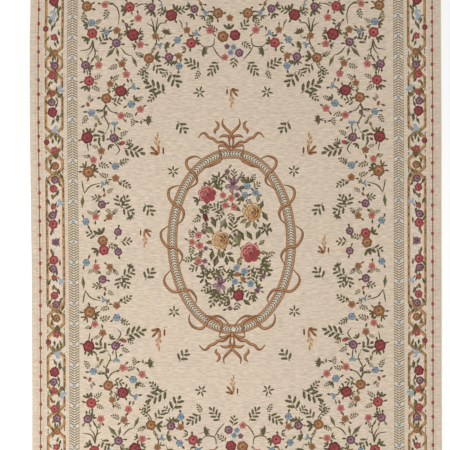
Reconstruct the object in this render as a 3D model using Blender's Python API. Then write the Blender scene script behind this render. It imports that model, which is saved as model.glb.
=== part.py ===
"""A flat rug in the Aubusson manner, lying open on a floor.

Blender 4.5, metres, +Z up. The origin is on the floor under the middle of the rug, X runs
across the rug from selvedge to selvedge and Y runs along it from hem to hem. The rug is one
woven panel, so it is one closed body: a thin sheet with rounded selvedges, a turned hem at
each end, slightly wandering side edges and a few soft creases left from folding.
"""

import bmesh
import bpy

# Driving sizes of the woven panel
RUG_WIDTH = 1.60
RUG_LENGTH = 2.30
CLOTH_THICKNESS = 0.004

# The hem at each end is the cloth turned once and pressed flat
HEM_DEPTH = 0.022
HEM_RAMP = 0.006
HEM_RISE = 0.0012

# The selvedges are a little thinner than the field
SELVEDGE_DEPTH = 0.008
SELVEDGE_THICKNESS = 0.0032

# The upper and lower edges of the rim are rounded off
RIM_ROUND = 0.0009

# The mesh pitch before the flat stretches are merged, and the bend in radians that counts as flat
PITCH = 0.025
MERGE_ANGLE = 0.0004

# How far each side edge wanders outwards, in metres, at stations along the rug
SIDE_DRIFT = (
    {"along": -1.15, "left": -0.0012, "right": -0.0025},
    {"along": -0.78, "left": -0.0005, "right": -0.0022},
    {"along": -0.62, "left": -0.0015, "right": -0.0018},
    {"along": -0.09, "left": -0.0016, "right": -0.0003},
    {"along": 0.12, "left": 0.0003, "right": 0.0003},
    {"along": 0.47, "left": 0.0029, "right": 0.0018},
    {"along": 0.61, "left": 0.0026, "right": 0.0015},
    {"along": 0.77, "left": 0.0018, "right": 0.0014},
    {"along": 0.94, "left": -0.0015, "right": 0.0014},
    {"along": 1.15, "left": -0.0005, "right": 0.0020},
)

# Soft creases across the rug: where each one's middle lies, its reach and how far it lifts
CREASES = (
    {"across": 0.31, "along": 0.28, "half_length": 0.17, "half_width": 0.060, "lift": 0.0016},
    {"across": -0.35, "along": 0.21, "half_length": 0.15, "half_width": 0.055, "lift": 0.0013},
    {"across": 0.05, "along": -0.56, "half_length": 0.28, "half_width": 0.060, "lift": 0.0010},
    {"across": -0.02, "along": 0.32, "half_length": 0.14, "half_width": 0.050, "lift": 0.0008},
)

# Yarn colour of the ground, linear red, green, blue and alpha
GROUND_YARN = (0.66, 0.55, 0.40, 1.0)
YARN_ROUGHNESS = 0.92


def clear_scene():
    """Remove every object that the start-up scene holds."""
    for old in list(bpy.data.objects):
        bpy.data.objects.remove(old)


def yarn_material():
    """Return the plain ground yarn as a material."""
    material = bpy.data.materials.new("ground_yarn")
    material.use_nodes = True
    shader = material.node_tree.nodes["Principled BSDF"]
    shader.inputs["Base Color"].default_value = GROUND_YARN
    shader.inputs["Roughness"].default_value = YARN_ROUGHNESS
    shader.inputs["Metallic"].default_value = 0.0
    return material


def drift_at(along, side):
    """Return how far the named side edge stands out at a place along the rug."""
    for low, high in zip(SIDE_DRIFT, SIDE_DRIFT[1:]):
        if along <= high["along"]:
            share = (along - low["along"]) / (high["along"] - low["along"])
            eased = share * share * (3.0 - 2.0 * share)
            return low[side] + (high[side] - low[side]) * eased
    return SIDE_DRIFT[-1][side]


def swell(share):
    """Return a smooth hump: 1 in its middle and exactly 0 from its ends outwards."""
    return max(0.0, 1.0 - share * share) ** 2


def crease_lift(across, along):
    """Return how far the cloth is lifted off the floor at a point of the rug."""
    lift = 0.0
    for crease in CREASES:
        reach = swell((across - crease["across"]) / crease["half_length"])
        rise = swell((along - crease["along"]) / crease["half_width"])
        lift += crease["lift"] * reach * rise
    return lift


def cloth_thickness(across, along):
    """Return the cloth's thickness: thin at the selvedges, raised over the hems."""
    from_end = RUG_LENGTH / 2 - abs(along)
    hem_share = (HEM_DEPTH + HEM_RAMP - from_end) / HEM_RAMP
    from_side = RUG_WIDTH / 2 - abs(across)
    side_share = 1.0 - from_side / SELVEDGE_DEPTH
    hem = HEM_RISE * min(1.0, max(0.0, hem_share))
    thinning = (CLOTH_THICKNESS - SELVEDGE_THICKNESS) * min(1.0, max(0.0, side_share))
    return CLOTH_THICKNESS + hem - thinning


def cut_line(panel, point, normal):
    """Add an edge line across the flat panel where the thickness changes."""
    parts = list(panel.verts) + list(panel.edges) + list(panel.faces)
    bmesh.ops.bisect_plane(panel, geom=parts, dist=1e-6, plane_co=point, plane_no=normal)


def flat_panel():
    """Return the panel as a flat grid with lines at the hems and selvedges."""
    panel = bmesh.new()
    bmesh.ops.create_grid(
        panel,
        x_segments=round(RUG_WIDTH / PITCH),
        y_segments=round(RUG_LENGTH / PITCH),
        size=0.5,
    )
    bmesh.ops.scale(panel, vec=(RUG_WIDTH, RUG_LENGTH, 1.0), verts=panel.verts)
    for side in (-1, 1):
        cut_line(panel, (side * (RUG_WIDTH / 2 - SELVEDGE_DEPTH), 0, 0), (1, 0, 0))
        cut_line(panel, (0, side * (RUG_LENGTH / 2 - HEM_DEPTH), 0), (0, 1, 0))
        cut_line(panel, (0, side * (RUG_LENGTH / 2 - HEM_DEPTH - HEM_RAMP), 0), (0, 1, 0))
    return panel


def give_thickness(panel):
    """Thicken the flat panel upwards and lay both faces over the creases."""
    underside = list(panel.faces)
    raised = bmesh.ops.extrude_face_region(panel, geom=underside)
    top = {part for part in raised["geom"] if isinstance(part, bmesh.types.BMVert)}
    for point in panel.verts:
        across, along = point.co.x, point.co.y
        point.co.z = crease_lift(across, along)
        if point in top:
            point.co.z += cloth_thickness(across, along)
    bmesh.ops.recalc_face_normals(panel, faces=panel.faces)


def round_rim(panel):
    """Round the upper and lower edges that run round the rug's rim."""
    rim = []
    for edge in panel.edges:
        turn = edge.calc_face_angle(0.0)
        if turn > 1.0 and abs(edge.verts[0].co.z - edge.verts[1].co.z) < CLOTH_THICKNESS / 2:
            rim.append(edge)
    bmesh.ops.bevel(
        panel,
        geom=rim,
        offset=RIM_ROUND,
        offset_type="OFFSET",
        segments=1,
        profile=0.5,
        affect="EDGES",
        material=-1,
    )


def wander_sides(panel):
    """Let each side edge wander outwards and inwards as the woven one does."""
    for point in panel.verts:
        side = "right" if point.co.x > 0 else "left"
        point.co.x *= 1.0 + drift_at(point.co.y, side) / (RUG_WIDTH / 2)


def merge_flat(panel):
    """Merge the faces that lie in one plane, and leave the creases, hems and rim."""
    bmesh.ops.dissolve_limit(
        panel,
        angle_limit=MERGE_ANGLE,
        use_dissolve_boundaries=False,
        verts=panel.verts,
        edges=panel.edges,
    )


def build_rug():
    """Build the rug's one closed body and return its object."""
    panel = flat_panel()
    give_thickness(panel)
    round_rim(panel)
    wander_sides(panel)
    merge_flat(panel)
    mesh = bpy.data.meshes.new("rug")
    panel.to_mesh(mesh)
    panel.free()
    rug = bpy.data.objects.new("rug", mesh)
    rug.data.materials.append(yarn_material())
    bpy.context.scene.collection.objects.link(rug)
    return rug


clear_scene()
build_rug()
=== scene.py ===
"""Looks of a flat woven rug in the Aubusson manner, lying open on a pale floor.

The rug is one sheet of tapestry weave. Its design is drawn as a weaver's cartoon: flat patches
of yarn, in millimetres from the rug's middle, X across and Y along. The cartoon is then woven
into the sheet's upper face, where each patch is inlaid flush with the ground.
"""

import logging
import math
import random
from collections.abc import Callable, Iterable, Sequence
from dataclasses import dataclass
from enum import Enum, IntEnum

import bmesh
import bpy
import numpy as np
from mathutils import Matrix, Vector, noise
from mathutils.bvhtree import BVHTree
from mathutils.geometry import delaunay_2d_cdt


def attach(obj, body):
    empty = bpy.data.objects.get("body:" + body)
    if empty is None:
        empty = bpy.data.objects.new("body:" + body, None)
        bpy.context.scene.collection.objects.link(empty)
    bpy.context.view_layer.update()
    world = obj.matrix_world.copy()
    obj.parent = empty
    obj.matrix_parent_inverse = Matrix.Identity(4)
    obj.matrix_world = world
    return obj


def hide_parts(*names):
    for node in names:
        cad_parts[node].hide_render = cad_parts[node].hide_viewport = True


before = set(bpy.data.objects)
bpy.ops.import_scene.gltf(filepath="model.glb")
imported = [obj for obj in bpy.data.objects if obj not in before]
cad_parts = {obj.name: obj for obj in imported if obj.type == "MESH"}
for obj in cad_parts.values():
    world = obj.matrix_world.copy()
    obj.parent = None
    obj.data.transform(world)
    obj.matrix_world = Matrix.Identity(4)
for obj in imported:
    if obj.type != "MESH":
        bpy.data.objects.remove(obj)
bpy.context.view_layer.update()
log = logging.getLogger("rug")

MM = 0.001
Point = tuple[float, float]
Rows = Sequence[tuple[float, ...]]


@dataclass(frozen=True)
class Dye:
    """One dyed yarn: its colour on the rug as sRGB, and how many pale fibres fleck it."""

    red: int
    green: int
    blue: int
    fleck: float

    def linear(self) -> tuple[float, float, float, float]:
        """Return the colour in linear light, with the fleck as its fourth number."""
        shares = (channel / 255 for channel in (self.red, self.green, self.blue))
        light = [s / 12.92 if s <= 0.04045 else ((s + 0.055) / 1.055) ** 2.4 for s in shares]
        return (*light, self.fleck)


class Yarn(Enum):
    """The bobbins of dyed yarn that the weaver uses."""

    FIELD_CREAM = Dye(214, 196, 174, 0.0)
    BAND_CREAM = Dye(217, 201, 181, 0.0)
    EDGE_SAND = Dye(215, 199, 180, 0.0)
    LINE_GREY = Dye(160, 145, 118, 0.2)
    LINE_ROSE = Dye(202, 174, 152, 0.2)
    GUARD = Dye(132, 104, 74, 0.15)
    TAN = Dye(166, 128, 96, 0.3)
    COCOA = Dye(146, 104, 72, 0.2)
    RUST = Dye(116, 66, 42, 0.15)
    BRASS = Dye(182, 136, 88, 0.2)
    STRAW = Dye(212, 182, 142, 0.2)
    PLAIT = Dye(208, 198, 178, 0.1)
    OLIVE_DEEP = Dye(64, 60, 36, 0.12)
    OLIVE = Dye(82, 77, 47, 0.15)
    MOSS = Dye(90, 82, 50, 0.2)
    SAGE = Dye(114, 106, 72, 0.2)
    SAGE_PALE = Dye(150, 141, 106, 0.2)
    LAUREL = Dye(106, 95, 64, 0.2)
    CRIMSON_DEEP = Dye(92, 30, 38, 0.12)
    CRIMSON = Dye(136, 56, 58, 0.15)
    RED = Dye(154, 68, 66, 0.15)
    ROSE_PINK = Dye(176, 100, 92, 0.2)
    CORAL = Dye(202, 144, 130, 0.2)
    PLUM_DEEP = Dye(90, 58, 68, 0.12)
    PLUM = Dye(122, 82, 92, 0.2)
    LILAC = Dye(158, 126, 132, 0.2)
    BLUE_DEEP = Dye(90, 106, 120, 0.15)
    BLUE = Dye(120, 137, 150, 0.2)
    BLUE_PALE = Dye(156, 168, 174, 0.2)
    AMBER_DEEP = Dye(120, 76, 44, 0.12)
    AMBER = Dye(142, 96, 60, 0.2)
    APRICOT = Dye(176, 130, 92, 0.2)
    GOLD = Dye(188, 148, 100, 0.2)
    MIST = Dye(176, 182, 182, 0.2)


YARNS = tuple(Yarn)
YARN_NUMBER = {yarn: number for number, yarn in enumerate(YARNS)}


class Level(IntEnum):
    """Which patches lie over which, from the ground up."""

    GROUND = 0
    BAND = 1
    STEM = 2
    LEAF = 3
    RING = 4
    BLOOM = 5
    RIBBON = 6


@dataclass(frozen=True)
class Spot:
    """Where a motif lies in the cartoon, its size in millimetres, and where it points."""

    across: float
    along: float
    size: float
    turn: float = 90.0


def swell(share: float) -> float:
    """Return a smooth hump: 1 in its middle and exactly 0 from its ends outwards."""
    return max(0.0, 1.0 - share * share) ** 2


def bowed(start: Point, end: Point, bend: float, steps: int) -> list[Vector]:
    """Return a path that bows to its left.

    Args:
        start: Where the path starts.
        end: Where it ends.
        bend: The bow's height as a share of the path's length.
        steps: How many straight steps the path has.

    Returns:
        The path's points.
    """
    first, last = Vector(start), Vector(end)
    run = last - first
    side = Vector((-run.y, run.x)) * bend
    shares = [step / steps for step in range(steps + 1)]
    return [first + run * share + side * (4.0 * share * (1.0 - share)) for share in shares]


def smooth_path(points: Sequence[Point], steps: int) -> list[Vector]:
    """Return a smooth path through a few points.

    Args:
        points: The points that the path goes through.
        steps: How many straight steps there are between two of them.

    Returns:
        The path's points.
    """
    known = [Vector(point) for point in points]
    padded = [known[0] * 2 - known[1], *known, known[-1] * 2 - known[-2]]
    path = [known[0]]
    for before, here, there, after in zip(padded, padded[1:], padded[2:], padded[3:]):
        for step in range(1, steps + 1):
            share = step / steps
            path.append(
                0.5
                * (
                    2 * here
                    + (there - before) * share
                    + (2 * before - 5 * here + 4 * there - after) * share**2
                    + (3 * here - before - 3 * there + after) * share**3
                )
            )
    return path


def pointing(turn: float, length: float) -> Vector:
    """Return a flat arrow of that length; 0 degrees points right and 90 up."""
    angle = math.radians(turn)
    return Vector((math.cos(angle), math.sin(angle))) * length


class Motif:
    """A flat drawing: each face of its bmesh is a patch of yarn, and later ones lie on top."""

    def __init__(self) -> None:
        """Start with no patches."""
        self.mesh = bmesh.new()
        self.yarn = self.mesh.faces.layers.int.new("yarn")
        self.order = self.mesh.faces.layers.int.new("order")
        self.dyed = 0

    def dye(self, faces: Iterable[bmesh.types.BMFace], yarn: Yarn) -> None:
        """Give these patches their yarn, and let them lie on those that came before."""
        self.dyed += 1
        for face in faces:
            face[self.yarn] = YARN_NUMBER[yarn]
            face[self.order] = self.dyed

    def oval(
        self,
        yarn: Yarn,
        centre: Point | Vector,
        size: Point,
        turn: float = 90.0,
        sides: int = 8,
        tip: float = 1.0,
        root: float = 1.0,
        point: float = 0.0,
    ) -> None:
        """Lay an oval patch.

        Args:
            yarn: What it is woven in.
            centre: Its middle.
            size: Its width, and its length along turn.
            turn: Where its length points, in degrees.
            sides: How many sides its outline has.
            tip: Its width near its tip, as a share of the oval's.
            root: Its width near its root, as a share of the oval's.
            point: How far both ends are drawn to a point, from 0 to 1.
        """
        made = bmesh.ops.create_circle(self.mesh, cap_ends=True, segments=sides, radius=0.5)
        verts = made["verts"]
        for vert in verts:
            share = vert.co.y + 0.5
            vert.co.x *= root + (tip - root) * share
            vert.co.x *= 1.0 - point * (2.0 * share - 1.0) ** 2
        place = Matrix.Translation((centre[0], centre[1], 0.0))
        place @= Matrix.Rotation(math.radians(turn - 90.0), 4, "Z")
        place @= Matrix.Diagonal((size[0], size[1], 1.0, 1.0))
        bmesh.ops.transform(self.mesh, matrix=place, verts=verts)
        self.dye(verts[0].link_faces, yarn)

    def leaf(
        self,
        yarn: Yarn,
        root: Point | Vector,
        length: float,
        width: float,
        turn: float,
        sides: int,
        vein: Yarn | None = None,
    ) -> None:
        """Lay a pointed leaf that grows from its root, with a paler half where a vein is given."""
        along = pointing(turn, length)
        middle = Vector(root[:2]) + along * 0.5
        self.oval(yarn, middle, (width * 1.12, length), turn, sides, point=1.2)
        if vein is not None:
            side = pointing(turn + 90.0, width * 0.17)
            self.oval(vein, middle + side, (width * 0.36, length * 0.58), turn, 5, point=0.6)

    def ring(
        self,
        yarn: Yarn,
        count: int,
        radius: float,
        size: Point,
        turn: float,
        sides: int,
        tip: float = 1.0,
        root: float = 1.0,
    ) -> None:
        """Lay like petals evenly round the middle, each pointing outwards."""
        for number in range(count):
            angle = turn + 360.0 * number / count
            self.oval(yarn, pointing(angle, radius), size, angle, sides, tip, root)

    def strip(self, yarn: Yarn, path: Sequence[Vector], widths: Sequence[float]) -> None:
        """Lay a strip along a path by extruding an edge from point to point.

        Args:
            yarn: What it is woven in.
            path: The points of its middle line.
            widths: Its width at the start, anywhere between, and at the end, evenly spaced.
        """
        last = len(path) - 1
        stations = np.linspace(0.0, 1.0, len(widths))
        lead: list[bmesh.types.BMVert] = []
        edge = None
        for number, here in enumerate(path):
            run = path[min(number + 1, last)] - path[max(number - 1, 0)]
            half = 0.5 * float(np.interp(number / last, stations, widths))
            side = Vector((-run.y, run.x)).normalized() * half
            left, right = (here + side).to_3d(), (here - side).to_3d()
            if edge is None:
                lead = [self.mesh.verts.new(left), self.mesh.verts.new(right)]
                edge = self.mesh.edges.new(lead)
                continue
            made = bmesh.ops.extrude_edge_only(self.mesh, edges=[edge])["geom"]
            fresh = [part for part in made if isinstance(part, bmesh.types.BMVert)]
            fresh.sort(key=lambda vert: (vert.co - lead[0].co).length_squared)
            fresh[0].co, fresh[1].co = left, right
            lead = fresh
            edge = next(e for e in fresh[0].link_edges if fresh[1] in e.verts)
            self.dye(edge.link_faces, yarn)

    def frame_line(self, yarn: Yarn, half: Point, width: float) -> None:
        """Lay a line round a rectangle of these half sizes by insetting it."""
        made = bmesh.ops.create_grid(self.mesh, x_segments=1, y_segments=1, size=1.0)
        reach = (half[0] + width / 2, half[1] + width / 2, 1.0)
        bmesh.ops.scale(self.mesh, vec=reach, verts=made["verts"])
        inner = list(made["verts"][0].link_faces)
        rim = bmesh.ops.inset_individual(self.mesh, faces=inner, thickness=width)["faces"]
        self.dye(rim, yarn)
        bmesh.ops.delete(self.mesh, geom=inner, context="FACES_ONLY")


class Cartoon:
    """The whole design, as every patch of yarn in its place."""

    def __init__(self) -> None:
        """Start with a bare cartoon."""
        self.straightness = 0.18
        self.longest = 52.0
        self.elbow_room = 1.5
        self.step = 0.02
        self.ground_corners = 0
        self.corners: list[Vector] = []
        self.patches: list[list[int]] = []
        self.yarns: list[int] = []
        self.ranks: list[int] = []

    def lay(self, motif: Motif, place: Matrix, level: Level) -> None:
        """Copy a motif's patches to a place.

        Args:
            motif: What is copied.
            place: A 4 by 4 matrix, which may mirror the motif.
            level: The patches lie over those of every lower level.
        """
        motif.mesh.verts.index_update()
        first = len(self.corners)
        self.corners.extend((place @ vert.co).to_2d() for vert in motif.mesh.verts)
        for face in sorted(motif.mesh.faces, key=lambda face: face[motif.order]):
            loop = [first + vert.index for vert in face.verts]
            arms = [self.corners[index] - self.corners[loop[0]] for index in loop[1:]]
            if sum(a.cross(b) for a, b in zip(arms, arms[1:])) < 0:
                loop.reverse()
            self.patches.append(loop)
            self.yarns.append(face[motif.yarn])
            self.ranks.append(int(level) * 1_000_000 + len(self.ranks))

    def lay_spot(self, motif: Motif, row: Sequence[float], mirror: Matrix, level: Level) -> None:
        """Copy a motif of unit size, drawn pointing up, to the spot that a row gives."""
        spot = Spot(*row)
        place = Matrix.Translation((spot.across, spot.along, 0.0))
        place @= Matrix.Rotation(math.radians(spot.turn - 90.0), 4, "Z")
        self.lay(motif, mirror @ place @ Matrix.Scale(spot.size, 4), level)

    def woven(self) -> tuple[list[Vector], list[Sequence[int]], list[int]]:
        """Cut the patches along each other, and keep only the outlines between two yarns.

        Returns:
            The corners, the triangles, and the number of each triangle's yarn.
        """
        borders = [pair for loop in self.patches for pair in zip(loop, loop[1:] + loop[:1])]
        result = delaunay_2d_cdt(self.corners, borders, [], 0, 1e-4)
        corners, triangles = result[0], result[2]
        stack = self.stack()
        yarns = self.top_yarns(stack, corners, triangles)
        sides = self.outlines(np.array(triangles), yarns)
        near = self.without_straight_corners(corners, sides)
        used = {corner: number for number, corner in enumerate(near)}
        points = [corners[corner] for corner in used]
        lines = [(used[a], used[b]) for a in near for b in near[a] if a < b]
        ground = self.corners[: self.ground_corners]
        points += [corner for corner in ground if self.has_room(stack, corner)]
        drawn = delaunay_2d_cdt(points, lines, [], 0, 1e-4)
        return drawn[0], drawn[2], self.top_yarns(stack, drawn[0], drawn[2]).tolist()

    def stack(self) -> BVHTree:
        """Pile the patches up by rank, a step apart, for rays to find the topmost one."""
        heights = {rank: number for number, rank in enumerate(sorted(self.ranks))}
        points: list[Vector] = []
        faces = []
        for loop, rank in zip(self.patches, self.ranks):
            faces.append(range(len(points), len(points) + len(loop)))
            height = heights[rank] * self.step
            points += [Vector((*self.corners[index], height)) for index in loop]
        return BVHTree.FromPolygons(points, faces)

    def yarn_at(self, stack: BVHTree, across: float, along: float) -> int:
        """Return the number of the topmost yarn at a place."""
        above = Vector((across, along, len(self.patches) * self.step + 1.0))
        return self.yarns[stack.ray_cast(above, Vector((0.0, 0.0, -1.0)))[2] or 0]

    def has_room(self, stack: BVHTree, corner: Vector) -> bool:
        """Tell whether a corner of the ground lies clear of every outline."""
        room = self.elbow_room
        steps = ((0.0, 0.0), (room, 0.0), (-room, 0.0), (0.0, room), (0.0, -room))
        return len({self.yarn_at(stack, corner.x + x, corner.y + y) for x, y in steps}) == 1

    def top_yarns(
        self, stack: BVHTree, corners: Sequence[Vector], triangles: Sequence[Sequence[int]]
    ) -> np.ndarray:
        """Return the number of the topmost yarn at the middle of each triangle."""
        yarns = []
        for triangle in triangles:
            a, b, c = (corners[corner] for corner in triangle)
            middle = (a + b + c) / 3.0
            yarns.append(self.yarn_at(stack, middle.x, middle.y))
        return np.array(yarns)

    @staticmethod
    def outlines(triangles: np.ndarray, yarns: np.ndarray) -> np.ndarray:
        """Return the edges that part two yarns or bound the cartoon, as pairs of corners."""
        sides = np.concatenate([triangles[:, pair] for pair in ((0, 1), (1, 2), (2, 0))])
        owner = np.tile(np.arange(len(triangles)), 3)
        sides.sort(axis=1)
        order = np.lexsort((sides[:, 1], sides[:, 0]))
        sides, owner = sides[order], owner[order]
        shared = np.all(sides[1:] == sides[:-1], axis=1)
        parted = shared & (yarns[owner[1:]] != yarns[owner[:-1]])
        alone = ~np.append(shared, False) & ~np.insert(shared, 0, False)
        return sides[alone | np.append(parted, False)]

    def without_straight_corners(self, corners: list[Vector], sides: np.ndarray) -> dict[int, set[int]]:
        """Join the outlines across the corners that lie on a straight run.

        Args:
            corners: Every corner of the cut cartoon.
            sides: The outlines, as pairs of corners.

        Returns:
            The corners that are left, each with those that it is joined to.
        """
        near: dict[int, set[int]] = {}
        for a, b in sides.tolist():
            near.setdefault(a, set()).add(b)
            near.setdefault(b, set()).add(a)
        rim_x = max(corner.x for corner in corners) - 1e-3
        rim_y = max(corner.y for corner in corners) - 1e-3
        for corner in list(near):
            here = corners[corner]
            if len(near[corner]) != 2 or abs(here.x) > rim_x or abs(here.y) > rim_y:
                continue
            a, b = near[corner]
            run = corners[b] - corners[a]
            if b in near[a] or abs(run.cross(here - corners[a])) > self.straightness * run.length:
                continue
            if run.length > self.longest:
                continue
            del near[corner]
            near[a].discard(corner)
            near[b].discard(corner)
            near[a].add(b)
            near[b].add(a)
        return near


class Shape(Enum):
    """How a flower is drawn."""

    ROSE = "rose"
    CABBAGE_ROSE = "cabbage rose"
    STAR = "star"
    ROUND = "round"
    BELL = "bell"
    BUD = "bud"
    IRIS = "iris"


@dataclass(frozen=True)
class Flower:
    """A flower's drawing and its four yarns, from the shaded one to the heart."""

    shape: Shape
    deep: Yarn
    body: Yarn
    lit: Yarn
    heart: Yarn


class Bloom(Enum):
    """The flowers of the rug."""

    AMBER_ROSE = Flower(Shape.ROSE, Yarn.AMBER_DEEP, Yarn.AMBER, Yarn.APRICOT, Yarn.AMBER_DEEP)
    RED_ROSE = Flower(Shape.ROSE, Yarn.CRIMSON, Yarn.RED, Yarn.ROSE_PINK, Yarn.CRIMSON_DEEP)
    CRIMSON_ROSE = Flower(Shape.ROSE, Yarn.CRIMSON_DEEP, Yarn.CRIMSON, Yarn.RED, Yarn.PLUM_DEEP)
    PLUM_ROSE = Flower(Shape.ROSE, Yarn.PLUM_DEEP, Yarn.PLUM, Yarn.LILAC, Yarn.PLUM_DEEP)
    CABBAGE_RED = Flower(Shape.CABBAGE_ROSE, Yarn.CRIMSON, Yarn.RED, Yarn.CORAL, Yarn.CRIMSON_DEEP)
    CABBAGE_GOLD = Flower(Shape.CABBAGE_ROSE, Yarn.AMBER_DEEP, Yarn.GOLD, Yarn.STRAW, Yarn.RUST)
    PINK_STAR = Flower(Shape.STAR, Yarn.RED, Yarn.ROSE_PINK, Yarn.CORAL, Yarn.CRIMSON)
    AMBER_STAR = Flower(Shape.STAR, Yarn.AMBER_DEEP, Yarn.AMBER, Yarn.APRICOT, Yarn.AMBER_DEEP)
    BLUE_STAR = Flower(Shape.STAR, Yarn.BLUE_DEEP, Yarn.BLUE, Yarn.BLUE_PALE, Yarn.BLUE_DEEP)
    RED_STAR = Flower(Shape.STAR, Yarn.CRIMSON, Yarn.RED, Yarn.ROSE_PINK, Yarn.CORAL)
    LILAC_STAR = Flower(Shape.STAR, Yarn.PLUM_DEEP, Yarn.PLUM, Yarn.LILAC, Yarn.PLUM_DEEP)
    BLUE_ROUND = Flower(Shape.ROUND, Yarn.BLUE_DEEP, Yarn.BLUE, Yarn.BLUE_PALE, Yarn.BLUE_DEEP)
    BLUE_BELL = Flower(Shape.BELL, Yarn.BLUE_DEEP, Yarn.BLUE, Yarn.BLUE_PALE, Yarn.OLIVE)
    PALE_BELL = Flower(Shape.BELL, Yarn.BLUE, Yarn.BLUE_PALE, Yarn.MIST, Yarn.SAGE)
    AMBER_BUD = Flower(Shape.BUD, Yarn.AMBER_DEEP, Yarn.AMBER, Yarn.APRICOT, Yarn.OLIVE)
    RED_BUD = Flower(Shape.BUD, Yarn.CRIMSON, Yarn.RED, Yarn.ROSE_PINK, Yarn.OLIVE)
    DARK_BUD = Flower(Shape.BUD, Yarn.CRIMSON_DEEP, Yarn.CRIMSON_DEEP, Yarn.CRIMSON, Yarn.OLIVE)
    PLUM_BUD = Flower(Shape.BUD, Yarn.PLUM_DEEP, Yarn.PLUM, Yarn.LILAC, Yarn.OLIVE)
    IRIS = Flower(Shape.IRIS, Yarn.PLUM_DEEP, Yarn.PLUM, Yarn.LILAC, Yarn.GOLD)


@dataclass(frozen=True)
class Sprig:
    """A sprig of length 1: a stem with pairs of leaves, or a fan of that many below 0."""

    leaf: Yarn
    stem: Yarn
    vein: Yarn | None = None
    pairs: int = 4
    leaf_length: float = 0.34
    leaf_width: float = 0.11
    lean: float = 50.0
    stem_width: float = 0.035
    sides: int = 6
    start: float = 0.0


class Foliage(Enum):
    """The leaves and sprigs of the rug."""

    FAN = Sprig(Yarn.OLIVE, Yarn.OLIVE, Yarn.SAGE, -3, 1.0, 0.50, 46.0, 0.03)
    PALE_FAN = Sprig(Yarn.MOSS, Yarn.MOSS, None, -3, 1.0, 0.36, 46.0, 0.03)
    FINE = Sprig(Yarn.MOSS, Yarn.MOSS, None, 3, 0.42, 0.19, 60.0, 0.05, 4)
    DARK = Sprig(Yarn.OLIVE, Yarn.OLIVE, Yarn.SAGE, 2, 0.58, 0.27, 56.0, 0.05)
    BOLD = Sprig(Yarn.OLIVE, Yarn.OLIVE, Yarn.SAGE, 3, 0.44, 0.21, 56.0, 0.04)
    UMBEL = Sprig(Yarn.MOSS, Yarn.OLIVE, None, -6, 0.62, 0.19, 62.0, 0.05, 4)
    LANCE = Sprig(Yarn.SAGE, Yarn.OLIVE, Yarn.OLIVE, -1, 1.0, 0.26, 0.0, 0.05, 8)
    ONE_LEAF = Sprig(Yarn.OLIVE, Yarn.OLIVE, Yarn.SAGE, -1, 1.0, 0.42, 0.0, 0.05, 8)
    PALE_LEAF = Sprig(Yarn.SAGE, Yarn.SAGE, Yarn.SAGE_PALE, -1, 1.0, 0.48, 0.0, 0.05, 8)
    LEAF_STAR = Sprig(Yarn.OLIVE, Yarn.OLIVE, None, -6, 1.0, 0.42, 150.0, 0.03, 6, 0.14)


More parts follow.
